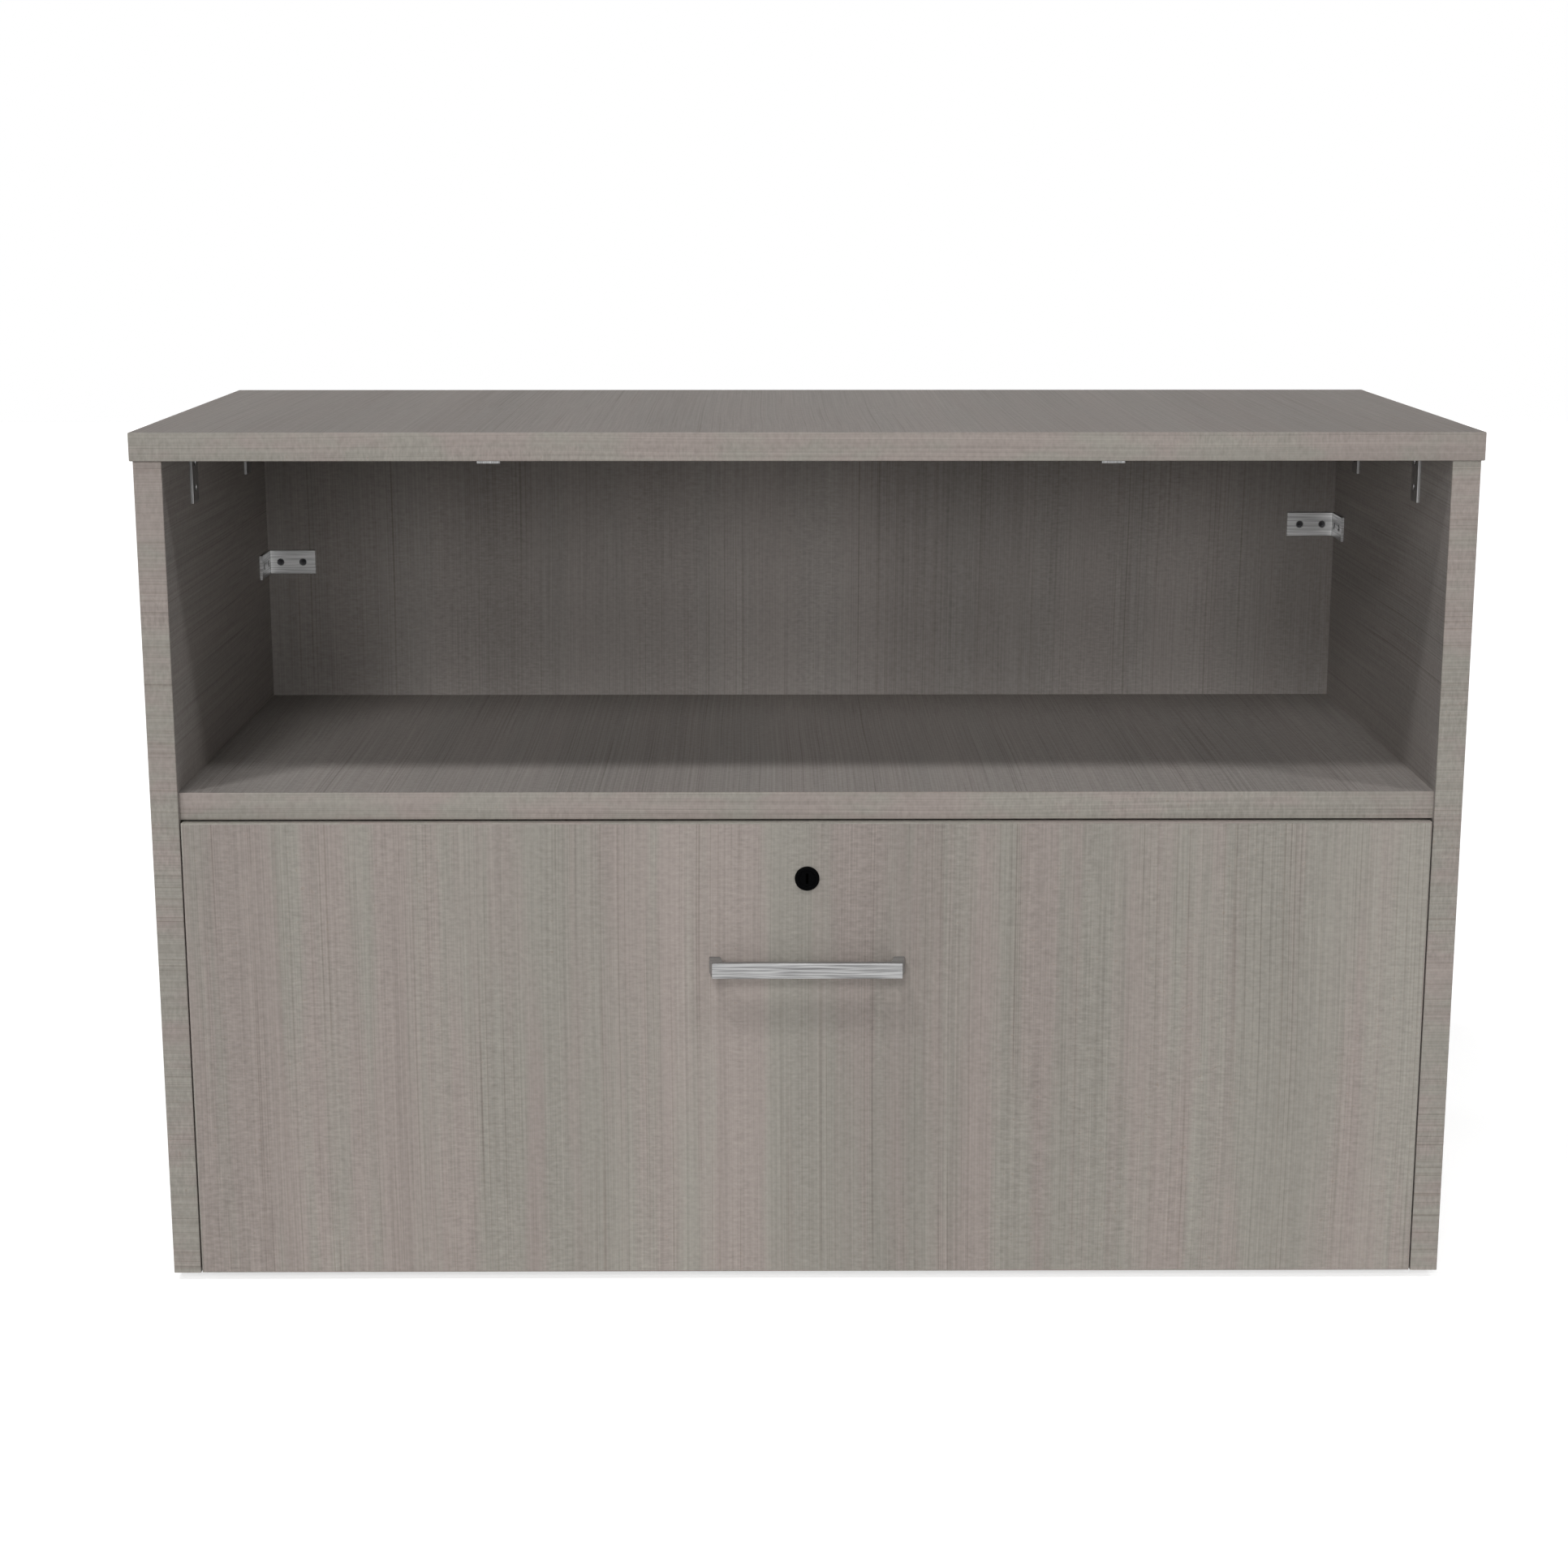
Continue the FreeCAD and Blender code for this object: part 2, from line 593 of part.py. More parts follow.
# Lock barrel: a chamfered face on a tube through the drawer front, held by a nut behind
bore_radius = "(plug_diameter / 2 + plug_play)"
barrel_radius = f"({barrel_diameter} / 2)"
rim_radius = f"({barrel_radius} + lock_rim)"
barrel_length = "(panel_thickness + nut_height + barrel_tail)"
barrel_end = f"({front} + {barrel_length})"
barrel = turning("barrel", [
    (bore_radius, f"-{barrel_length}"),
    (barrel_radius, f"-{barrel_length}"),
    (barrel_radius, "0"),
    (rim_radius, "0"),
    (rim_radius, "lock_proud - lock_chamfer"),
    (f"{rim_radius} - lock_chamfer", "lock_proud"),
    (bore_radius, "lock_proud"),
])
keep(place(barrel, "0", front, lock_axis, Rotation(UP, -REAR)), "lock_barrel")
nut_seat = ("0", behind_front, lock_axis)
nut_width = corners_round(f"{barrel_diameter} + 2 * nut_wall", HEXAGON)
nut_blank = bar("nut_blank", nut_width, "nut_height", nut_seat, REAR, HEXAGON)
nut_bore = rod("nut_bore", barrel_diameter, "nut_height", nut_seat, REAR)
keep(cut("nut", nut_blank, [nut_bore]), "lock_nut")

# Lock plug with its keyway, the cam on its square tail and the cam's screw
plug_face = f"({front} - lock_proud + plug_recess)"
cam_face = f"({barrel_end} + cam_gap)"
cam_rear = f"({cam_face} + cam_sheet)"
cam_reach = "lock_drop + front_top_gap - strike_sheet - cam_tip_gap"
plug_rod = rod("plug_rod", "plug_diameter", f"{cam_face} - {plug_face}", ("0", plug_face, lock_axis), REAR)
square = (("-cam_square / 2", "cam_square / 2"), (cam_face, cam_rear),
          (f"{lock_axis} - cam_square / 2", f"{lock_axis} + cam_square / 2"))
plug_blank = fuse("plug_blank", plug_rod, block("plug_tail", *square))
keyway = block("keyway", ("-keyway_width / 2", "keyway_width / 2"),
               (plug_face, f"{plug_face} + keyway_depth"),
               (f"{lock_axis} - keyway_height / 2", f"{lock_axis} + keyway_height / 2"))
tail_thread = bar("tail_thread", "cam_screw_thread", "cam_screw_length", ("0", cam_rear, lock_axis), -REAR)
keep(cut("plug", plug_blank, [keyway, tail_thread]), "lock_plug")
cam_disc = rod("cam_disc", "cam_hub", "cam_sheet", ("0", cam_face, lock_axis), REAR)
cam_strip = block("cam_strip", ("0", cam_reach), (cam_face, cam_rear),
                  (f"{lock_axis} - cam_arm / 2", f"{lock_axis} + cam_arm / 2"))
keep(cut("cam", fuse("cam_blank", cam_disc, cam_strip), [block("cam_hole", *square)]), "lock_cam")
cam_screw = machine_screw("cam_screw", "cam_screw_head", "cam_screw_cap", "cam_screw_thread",
                          "cam_screw_length", ("0", cam_rear, lock_axis), REAR)
keep(cam_screw, "lock_cam_screw")

# Strike angle under the shelf, which the raised cam catches on
strike_face = f"({behind_front} + strike_setback)"
strike_inner = f"({strike_face} + strike_sheet)"
strike_rear = f"({strike_face} + strike_depth)"
strike_foot = f"{shelf_under} - strike_drop"
strike_flange = f"{shelf_under} - strike_sheet"
strike_bend = [(strike_face, shelf_under), (strike_face, strike_foot), (strike_inner, strike_foot),
               (strike_inner, strike_flange), (strike_rear, strike_flange), (strike_rear, shelf_under)]
strike_blank = extrusion("strike_blank", "YZ_Plane", strike_bend, "strike_width")
place(strike_blank, "-strike_width / 2", "0", "0")
strike_spots = [(f"{sign} * strike_hole_spread", f"({strike_inner} + {strike_rear}) / 2")
                for sign in SIDES.values()]
strike_holes = [countersink(f"strike_hole_{count}", "strike_sheet", (*spot, shelf_under), -UP)
                for count, spot in enumerate(strike_spots)]
keep(cut("strike", strike_blank, strike_holes), "lock_strike")
strike_seat = f"{strike_flange} + screw_recess"
case_screws = [wood_screw(f"strike_screw_{count}", "screw_length", (*spot, strike_seat), -UP)
               for count, spot in enumerate(strike_spots)]

# Ball slides: three nested rails a side, with a cage of balls in each of the two gaps
outer_row = "(slide_height / 2 - slide_sheet - row_gap / 2)"
middle_half = "(slide_height / 2 - slide_sheet - row_gap)"
inner_row = f"({middle_half} - slide_sheet - row_gap / 2)"
drawer_half = f"({middle_half} - slide_sheet - row_gap)"
outer_cage_web = "(slide_sheet + cage_play)"
middle_web = f"({outer_cage_web} + cage_sheet + cage_play)"
inner_cage_web = f"({middle_web} + slide_sheet + cage_play)"
drawer_tip = f"({inner_cage_web} + cage_sheet + cage_play)"
flange_tip = "(slide_width - flange_gap)"
cage_tip = f"({flange_tip} - cage_setback)"
cage_start = f"({slide_start} + ({slide_length} - cage_length) / 2)"
raceway_diameter = "row_gap + 2 * raceway_depth"


def channel(name, sign, web, tip, half, metal, start, length):
    """A channel along Y with rounded bends; web and tip are distances from the end panel."""
    inner = f"{web} + {metal}" if number(tip) > number(web) else f"{web} - {metal}"
    low = f"-{half} + {metal}"
    high = f"{half} - {metal}"
    section = [(web, f"-{half}"), (tip, f"-{half}"), (tip, low), (inner, low),
               (inner, high), (tip, high), (tip, half), (web, half)]
    corners = [(f"{sign} * ({half_clear} - ({u}))", f"{slide_axis} + {v}") for u, v in section]
    body = extrusion(name, "XZ_Plane", corners, length)
    doc.recompute()
    bend_x = number(corners[0][0])
    bend_z = [number(corners[0][1]), number(corners[-1][1])]
    pad = body.Tip
    bends = []
    for count, edge in enumerate(pad.Shape.Edges, start=1):
        middle = edge.CenterOfMass
        if abs(middle.x - bend_x) < TOUCH and min(abs(middle.z - z) for z in bend_z) < TOUCH:
            bends.append(f"Edge{count}")
    rounding = body.newObject("PartDesign::Fillet", f"{name}_bends")
    rounding.Base = (pad, bends)
    rounding.setExpression("Radius", bound(metal))
    return place(body, "0", start, "0")


def raceways(name, sign, row):
    """The two ball grooves of one row height, above and below the slide's axis."""
    x = f"{sign} * ({half_clear} - ({drawer_tip} + {flange_tip}) / 2)"
    heights = {"upper": f"{slide_axis} + {row}", "lower": f"{slide_axis} - {row}"}
    return [rod(f"{name}_{word}", raceway_diameter, slide_length, (x, slide_start, height), REAR)
            for word, height in heights.items()]


def rail_spots(sign, reach):
    """Evenly spaced places of a rail's screws, at a distance from the end panel."""
    x = f"{sign} * ({half_clear} - ({reach}))"
    first = f"{slide_start} + rail_hole_inset"
    pitch = f"({slide_length} - 2 * rail_hole_inset) / {RAIL_SCREWS - 1}"
    return [(x, f"{first} + {step} * {pitch}", slide_axis) for step in range(RAIL_SCREWS)]


drawer_screws = []
for side, sign in SIDES.items():
    inward = RIGHT * -float(sign)
    outer_blank = channel(f"{side}_outer_blank", sign, "0", flange_tip, "slide_height / 2", "slide_sheet",
                          slide_start, slide_length)
    holes = [countersink(f"{side}_case_hole_{count}", "slide_sheet", spot, inward)
             for count, spot in enumerate(rail_spots(sign, "0"))]
    grooves = raceways(f"{side}_outer_race", sign, outer_row)
    keep(cut(f"{side}_outer_rail", outer_blank, holes + grooves), f"{side}_case_rail")
    case_screws += [wood_screw(f"{side}_case_screw_{count}", "screw_length", spot, inward)
                    for count, spot in enumerate(rail_spots(sign, "slide_sheet - screw_recess"))]

    middle_blank = channel(f"{side}_middle_blank", sign, middle_web, flange_tip, middle_half, "slide_sheet",
                           slide_start, slide_length)
    grooves = raceways(f"{side}_middle_race", sign, outer_row)
    grooves += raceways(f"{side}_inner_race", sign, inner_row)
    keep(cut(f"{side}_middle", middle_blank, grooves), f"{side}_middle_rail")

    drawer_blank = channel(f"{side}_drawer_blank", sign, "slide_width", drawer_tip, drawer_half,
                           "slide_sheet", slide_start, slide_length)
    holes = [countersink(f"{side}_drawer_hole_{count}", "slide_sheet", spot, -inward)
             for count, spot in enumerate(rail_spots(sign, "slide_width"))]
    grooves = raceways(f"{side}_drawer_race", sign, inner_row)
    keep(cut(f"{side}_inner_rail", drawer_blank, holes + grooves), f"{side}_drawer_rail")
    screw_reach = "slide_width - slide_sheet + screw_recess"
    drawer_screws += [wood_screw(f"{side}_drawer_screw_{count}", "screw_length", spot, -inward)
                      for count, spot in enumerate(rail_spots(sign, screw_reach))]

    for word, web, row in (("outer", outer_cage_web, outer_row), ("inner", inner_cage_web, inner_row)):
        cage = channel(f"{side}_{word}_strip", sign, web, cage_tip, f"({row} + cage_sheet / 2)",
                       "cage_sheet", cage_start, "cage_length")
        keep(cage, f"{side}_{word}_ball_cage")

keep(together("screws_of_case", case_screws), "case_screws")
keep(together("screws_of_rails", drawer_screws), "drawer_rail_screws")

doc.recompute()
failed = [o.Label for o in doc.Objects if {"Invalid", "Error"} & set(o.State)]
failed += [p.Label for p in pieces if p.Shape.isNull() or not p.Shape.isValid() or not p.Shape.Solids]
if failed:
    raise SystemExit(f"not built: {failed}")
os.makedirs("parts", exist_ok=True)
for piece in pieces:
    piece.Shape.exportStep(f"parts/{piece.Label}.step")
print(len(pieces), "nodes,", sum(len(p.Shape.Solids) for p in pieces), "solids")
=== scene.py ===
# %% [markdown]
# This lesson dresses a storage credenza, a low office cabinet of laminated board with an open compartment
# over one wide file drawer. Its solids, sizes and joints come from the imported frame, which stays where it
# is. Here every solid gets its finish, and the small pieces that a solid only stands in for, such as screws
# and threads, are made. It could all be modelled by hand, but a formula for each piece keeps its sizes
# together, and the frame says where it goes.

# %% Load the fixed frame
import math
from collections import namedtuple

import bmesh
import bpy
import numpy as np
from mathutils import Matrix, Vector


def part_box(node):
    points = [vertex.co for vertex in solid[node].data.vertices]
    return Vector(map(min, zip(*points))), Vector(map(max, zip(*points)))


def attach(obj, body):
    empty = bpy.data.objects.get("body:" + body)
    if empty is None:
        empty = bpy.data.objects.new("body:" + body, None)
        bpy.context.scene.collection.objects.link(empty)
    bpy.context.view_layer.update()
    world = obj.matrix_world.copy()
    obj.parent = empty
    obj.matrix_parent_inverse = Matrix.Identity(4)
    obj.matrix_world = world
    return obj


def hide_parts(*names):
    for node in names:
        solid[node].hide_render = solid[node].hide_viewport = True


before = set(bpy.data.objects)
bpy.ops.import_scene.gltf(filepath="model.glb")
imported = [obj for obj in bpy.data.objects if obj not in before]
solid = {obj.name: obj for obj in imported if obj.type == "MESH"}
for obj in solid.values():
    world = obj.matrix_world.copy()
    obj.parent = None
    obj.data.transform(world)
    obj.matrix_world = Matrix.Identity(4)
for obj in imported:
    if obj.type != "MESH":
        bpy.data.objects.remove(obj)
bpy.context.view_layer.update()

MM = 0.001

# %% [markdown]
# The photograph looks at the cabinet from the front, a little from above, with a long lens.
# A camera can be nudged until things line up, but edges of known direction fix it better: where the
# cabinet's parallel edges meet gives the focal length and the tilt, and the top's width gives the distance.

# %% Set the camera
PHOTO_SIDE = 1932
FOCAL_PIXELS = 3329.08
SENSOR_MM = 36.0
EYE_MM = (-26.47, -1985.07, 758.21)
TILT_DOWN = math.radians(12.440)
TURN_RIGHT = math.radians(0.336)

lens = bpy.data.cameras.new("front_view")
lens.sensor_width = SENSOR_MM
lens.lens = SENSOR_MM * FOCAL_PIXELS / PHOTO_SIDE
eye = bpy.data.objects.new("front_view", lens)
eye.location = [MM * side for side in EYE_MM]
eye.rotation_euler = (math.pi / 2 - TILT_DOWN, 0.0, -TURN_RIGHT)
bpy.context.scene.collection.objects.link(eye)
bpy.context.scene.camera = eye
bpy.context.scene.view_settings.view_transform = "Standard"
print("lens of", round(lens.lens, 2), "mm")

# %% [markdown]
# A studio lights a cabinet with big soft lamps. Two high ones, left and right, throw the pull's shadow down
# the drawer and light the top. Two keys in front and four lamps near the camera's height light the front
# and reach into the compartment, and three more beside and behind it light the other sides.
# Area lamps would do, but sun lamps with a wide disc light near and far parts alike, so a face's brightness
# follows from how it is turned and what shades it. A strength of 1 shows a white face turned to it as white.

# %% Hang the lamps
# Azimuth, elevation and width of the disc in degrees, then the strength.
LAMPS = {
    "high_left": (-40, 62, 7, 0.24),
    "high_right": (55, 54, 7, 0.15),
    "front_key": (-3, 35, 14, 0.16),
    "left_key": (-16, 29, 14, 0.16),
    "low_left": (-14, 11, 18, 0.11),
    "low_right": (11, 12, 16, 0.094),
    "far_left": (-40, 5, 14, 0.07),
    "far_right": (40, 5, 14, 0.02),
    "left_rim": (-105, 6, 30, 0.34),
    "right_rim": (105, 6, 30, 0.34),
    "behind": (180, 9, 30, 0.34),
}


def hang_lamp(name, azimuth, elevation, disc, strength):
    """A sun lamp seen from the cabinet at an azimuth (0 in front, 90 to the right) and an elevation."""
    lamp = bpy.data.lights.new(name, "SUN")
    lamp.angle = math.radians(disc)
    lamp.energy = math.pi * strength
    holder = bpy.data.objects.new(name, lamp)
    turn = math.radians(azimuth)
    rise = math.radians(elevation)
    toward = Vector((math.sin(turn) * math.cos(rise), -math.cos(turn) * math.cos(rise), math.sin(rise)))
    holder.rotation_euler = toward.to_track_quat("Z", "Y").to_euler()
    bpy.context.scene.collection.objects.link(holder)


for lamp_name, settings in LAMPS.items():
    hang_lamp(lamp_name, *settings)
print(len(LAMPS), "lamps")

# %% [markdown]
# A finish is a small network of shader nodes. Each could be wired by hand in the editor, but the same few
# moves come again and again, so they are short functions here. A new finish comes with its shader and with
# the object coordinates that its patterns read, so that a pattern stays on the piece when it moves.

# %% Start a finish


def wire(tree, socket, value):
    """Wires an output to a socket, or sets a plain number, vector or colour on it."""
    if isinstance(value, bpy.types.NodeSocket):
        tree.links.new(value, socket)
    else:
        socket.default_value = value


def paint(red, green, blue):
    """A colour as a screen shows it, 0 to 255 a channel, turned into the linear light that shaders use."""
    shown = np.array([red, green, blue]) / 255
    linear = np.where(shown <= 0.04045, shown / 12.92, ((shown + 0.055) / 1.055) ** 2.4)
    return (*linear.tolist(), 1.0)


def new_finish(name):
    """An empty material, with its node tree, its shader and the object coordinates that patterns read."""
    material = bpy.data.materials.new(name)
    material.use_nodes = True
    tree = material.node_tree
    coordinates = tree.nodes.new("ShaderNodeTexCoord")
    return material, tree, tree.nodes["Principled BSDF"], coordinates.outputs["Object"]


print("a grey of 128 is", round(paint(128, 128, 128)[0], 3), "in linear light")

# %% [markdown]
# Nearly every mark on the cabinet comes from noise. Stretched differently along X, Y and Z, a cloud of noise
# turns into streaks, and a soft threshold cuts the streaks into lines, patches or flecks. A scanned picture
# would show its dots close up, and noise has none.

# %% Make patterns


def cloud(tree, place, per_metre, detail=2.0, roughness=0.5, shift=0.0):
    """Noise with so many features a metre along X, Y and Z: streaks, where the three differ."""
    squeeze = tree.nodes.new("ShaderNodeMapping")
    wire(tree, squeeze.inputs["Vector"], place)
    squeeze.inputs["Location"].default_value = (shift, shift, shift)
    squeeze.inputs["Scale"].default_value = per_metre
    noise = tree.nodes.new("ShaderNodeTexNoise")
    wire(tree, noise.inputs["Vector"], squeeze.outputs["Vector"])
    noise.inputs["Scale"].default_value = 1.0
    noise.inputs["Detail"].default_value = detail
    noise.inputs["Roughness"].default_value = roughness
    return noise.outputs


def ramp(tree, value, low, high, start=0.0, end=1.0):
    """Start up to low, end from high on, and a smooth step between them."""
    step = tree.nodes.new("ShaderNodeMapRange")
    step.interpolation_type = "SMOOTHSTEP"
    wire(tree, step.inputs["Value"], value)
    step.inputs["From Min"].default_value = low
    step.inputs["From Max"].default_value = high
    step.inputs["To Min"].default_value = start
    step.inputs["To Max"].default_value = end
    return step.outputs["Result"]


print("patterns: noise and soft steps")

# %% [markdown]
# Patterns are numbers of about 0 to 1. They are added and multiplied, they are shares by which two colours
# mix, and they raise a shallow relief. Node groups could hold these moves, but a function is easier to read.

# %% Combine patterns and colours
COLOUR_A, COLOUR_B, COLOUR_MIXED = 6, 7, 2


def reckon(tree, operation, first, second):
    """One sum, product or other operation on two numbers or outputs."""
    sum_node = tree.nodes.new("ShaderNodeMath")
    sum_node.operation = operation
    wire(tree, sum_node.inputs[0], first)
    wire(tree, sum_node.inputs[1], second)
    return sum_node.outputs["Value"]


def mix(tree, share, first, second):
    """The first colour where share is 0, the second where it is 1."""
    mixer = tree.nodes.new("ShaderNodeMix")
    mixer.data_type = "RGBA"
    wire(tree, mixer.inputs["Factor"], share)
    wire(tree, mixer.inputs[COLOUR_A], first)
    wire(tree, mixer.inputs[COLOUR_B], second)
    return mixer.outputs[COLOUR_MIXED]


def shade(tree, colour, lightness):
    """A colour made lighter or darker by a factor near 1."""
    tone = tree.nodes.new("ShaderNodeHueSaturation")
    wire(tree, tone.inputs["Color"], colour)
    wire(tree, tone.inputs["Value"], lightness)
    return tone.outputs["Color"]


def emboss(tree, shader, height, depth):
    """A shallow relief: height 0 to 1 stands for that depth in metres."""
    relief = tree.nodes.new("ShaderNodeBump")
    relief.inputs["Strength"].default_value = 1.0
    relief.inputs["Distance"].default_value = depth
    wire(tree, relief.inputs["Height"], height)
    wire(tree, shader.inputs["Normal"], relief.outputs["Normal"])


print("colours: mixed, shaded and embossed")

# %% [markdown]
# The cabinet stands on a plain white floor that runs into a white background. Lighting a floor until it is
# white would also wash out the cabinet, so only what the camera and mirrors see of it is lifted to white.
# The lamps still light the floor underneath, so the cabinet's soft shadow stays on it.

# %% Lay the floor
FLOOR_SIDE = 14.0
FLOOR_GLOW = 0.62
PAPER_FIBRES = (60, 60, 60)
PAPER_TONES = ((0.79, 0.79, 0.79, 1), (0.81, 0.81, 0.81, 1))
WHITE = (1, 1, 1, 1)


def seen_directly(tree):
    """1 for rays from the camera, a mirror or glass, and 0 for light bounced between surfaces."""
    rays = tree.nodes.new("ShaderNodeLightPath").outputs
    seen = reckon(tree, "MAXIMUM", rays["Is Camera Ray"], rays["Is Glossy Ray"])
    return reckon(tree, "MAXIMUM", seen, rays["Is Transmission Ray"])


def floor_finish():
    """White paper that glows a little where it is seen directly."""
    material, tree, shader, place = new_finish("white_floor")
    fibres = cloud(tree, place, PAPER_FIBRES, detail=3.0)["Fac"]
    wire(tree, shader.inputs["Base Color"], mix(tree, fibres, *PAPER_TONES))
    shader.inputs["Roughness"].default_value = 1.0
    shader.inputs["Specular IOR Level"].default_value = 0.0
    shader.inputs["Emission Color"].default_value = WHITE
    wire(tree, shader.inputs["Emission Strength"], reckon(tree, "MULTIPLY", seen_directly(tree), FLOOR_GLOW))
    return material


floor_mesh = bpy.data.meshes.new("floor")
floor_corners = FLOOR_SIDE / 2 * np.array([(-1, -1, 0), (1, -1, 0), (1, 1, 0), (-1, 1, 0)])
floor_mesh.from_pydata(floor_corners.tolist(), [], [(0, 1, 2, 3)])
floor_mesh.materials.append(floor_finish())
floor = bpy.data.objects.new("floor", floor_mesh)
bpy.context.scene.collection.objects.link(floor)
print("floor of", FLOOR_SIDE, "m")

# %% [markdown]
# What lies beyond the floor is white too. A photographer would hang a white cloth, which also throws light
# back. Here the world is white to the camera and to mirrors, and nearly dark as a lamp, so that the lamps
# alone decide how bright each face is.

# %% Surround it with white
AMBIENT = 0.01

world = bpy.data.worlds.new("white_room")
bpy.context.scene.world = world
world.use_nodes = True
sky = world.node_tree.nodes["Background"]
sky.inputs["Color"].default_value = WHITE
sky_seen = seen_directly(world.node_tree)
wire(world.node_tree, sky.inputs["Strength"], ramp(world.node_tree, sky_seen, 0.0, 1.0, AMBIENT, 1.0))
print("light from all round:", AMBIENT)

# %% [markdown]
# The board is faced with printed paper under clear melamine. The print shows long straight grain in soft
# bands, some greenish grey and some pinkish, with hair-thin dark lines, a cross ripple in patches, a fine
# grit and a few brown flecks. A photograph of wood would need a picture file. Noise that is squeezed hard
# across the grain and stretched along it gives the same marks at their real scale, and it never repeats.

# %% Follow the grain
DRIFT_RATE = (2.0, 2.4)


def along_grain(axes, across, along):
    """Features a metre on each axis: the along count on the grain's axes, the across count on the others."""
    return tuple(along if axis in axes else across for axis in "XYZ")


def wandering(tree, place, axes, reach, shift):
    """The coordinates plus slow noise, centred on 0, times a reach in metres: straight grain that drifts."""
    drift = cloud(tree, place, along_grain(axes, *DRIFT_RATE), detail=1.0, shift=shift)["Color"]
    centred = tree.nodes.new("ShaderNodeVectorMath")
    centred.operation = "SUBTRACT"
    wire(tree, centred.inputs[0], drift)
    centred.inputs[1].default_value = (0.5, 0.5, 0.5)
    pushed = tree.nodes.new("ShaderNodeVectorMath")
    pushed.operation = "MULTIPLY_ADD"
    wire(tree, pushed.inputs[0], centred.outputs["Vector"])
    pushed.inputs[1].default_value = (reach, reach, reach)
    wire(tree, pushed.inputs[2], place)
    return pushed.outputs["Vector"]


def streaks(tree, place, axes, rate, detail=2.0, roughness=0.5, shift=0.0):
    """Noise of 0 to 1 drawn out along the grain: its rate is features a metre, across it and along it."""
    return cloud(tree, place, along_grain(axes, *rate), detail, roughness, shift)["Fac"]


print("grain along X counts", along_grain("X", *DRIFT_RATE), "drifts a metre")

# %% [markdown]
# The dark lines of the print are sharper than noise can draw. So the board is divided into strips along the
# grain, and each strip gets one line at a random place and of a random strength. The random numbers are
# worked out from the number of the strip, so every run draws the same lines.

# %% Rule hair-thin lines
LINE_MARGIN = 0.2
LINE_CORE = 0.2


def on_axis(tree, vector, axis):
    """One coordinate of a vector."""
    parts = tree.nodes.new("ShaderNodeSeparateXYZ")
    wire(tree, parts.inputs["Vector"], vector)
    return parts.outputs[axis]


def hairlines(tree, place, across, per_metre, width):
    """Hair-thin lines, one to a strip: each strip's own random number sets the line's place and strength."""
    strips = reckon(tree, "MULTIPLY", on_axis(tree, place, across), per_metre)
    chance = tree.nodes.new("ShaderNodeTexWhiteNoise")
    chance.noise_dimensions = "1D"
    wire(tree, chance.inputs["W"], reckon(tree, "FLOOR", strips, 0.0))
    middle = ramp(tree, chance.outputs["Value"], 0.0, 1.0, LINE_MARGIN, 1 - LINE_MARGIN)
    within = reckon(tree, "FRACT", strips, 0.0)
    apart = reckon(tree, "ABSOLUTE", reckon(tree, "SUBTRACT", within, middle), 0.0)
    line = ramp(tree, apart, LINE_CORE * width * per_metre, width * per_metre, 1.0, 0.0)
    strength = on_axis(tree, chance.outputs["Color"], "Z")
    return reckon(tree, "MULTIPLY", line, strength)


print("a line keeps", LINE_MARGIN, "of its strip clear on either side")

# %% [markdown]
# The marks are mixed in the order in which a printer lays them down: the soft bands first, then the lines,
# then the flecks. Bold and faint lines fade in and out along the grain, and flecks and ripple gather in
# ladder-like patches. Rates are features a metre, across the grain and along it.

# %% Print the bands and lines
Inks = namedtuple("Inks", "green pink line fleck")
BAND_RATE = 30.0
FADE_RATE = (40.0, 4.0)
LADDER_RATE = (34.0, 3.0)
LADDER_SHIFT = 7.0
LADDER_FLOOR = 0.4
BOLD_LINES, BOLD_INK = (60.0, 0.0008), 0.52
FAINT_LINES, FAINT_INK = (260.0, 0.0006), 0.40
BAND_STEP, FADE_STEP, LADDER_STEP = (0.40, 0.60), (0.35, 0.65), (0.40, 0.62)


def tone_bands(tree, grain, axes, shift, inks, patch):
    """Soft bands: the greenish ink where slow noise is low, the pinkish one where it is high."""
    broad = streaks(tree, grain, axes, (BAND_RATE, patch), detail=3.0, roughness=0.6, shift=shift)
    return mix(tree, ramp(tree, broad, *BAND_STEP), inks.green, inks.pink)


def line_share(tree, grain, axes, across, shift):
    """Share of line ink: the stronger of a bold and a faint hairline, times noise that makes them fade."""
    bold = reckon(tree, "MULTIPLY", hairlines(tree, grain, across, *BOLD_LINES), BOLD_INK)
    faint = reckon(tree, "MULTIPLY", hairlines(tree, grain, across, *FAINT_LINES), FAINT_INK)
    fading = streaks(tree, grain, axes, FADE_RATE, detail=3.0, shift=shift)
    return reckon(tree, "MULTIPLY", reckon(tree, "MAXIMUM", bold, faint), ramp(tree, fading, *FADE_STEP))


def ladder_patches(tree, grain, axes, shift):
    """1 on the patches where ripple and flecks gather, and a smaller share between them."""
    patches = streaks(tree, grain, axes, LADDER_RATE, detail=1.0, shift=shift + LADDER_SHIFT)
    return ramp(tree, patches, *LADDER_STEP, LADDER_FLOOR, 1.0)


print("a band is about", round(1000 / BAND_RATE), "mm wide")

# %% [markdown]
# The print stops at a board's cut edges. There a thin foil of the same tones covers the core, with its
# streaks across the thickness. Cutting the mesh into faces and edges would need two materials, so a board's
# edge is told from its face by the way the surface is turned.

# %% Cover the cut edges
FOIL_BANDS = (120.0, 4.0)
FOIL_STREAKS = (900.0, 12.0)
STREAK_STEP, STREAK_INK = (0.5, 0.8), 0.6
EDGE_STEP = (0.5, 0.8)


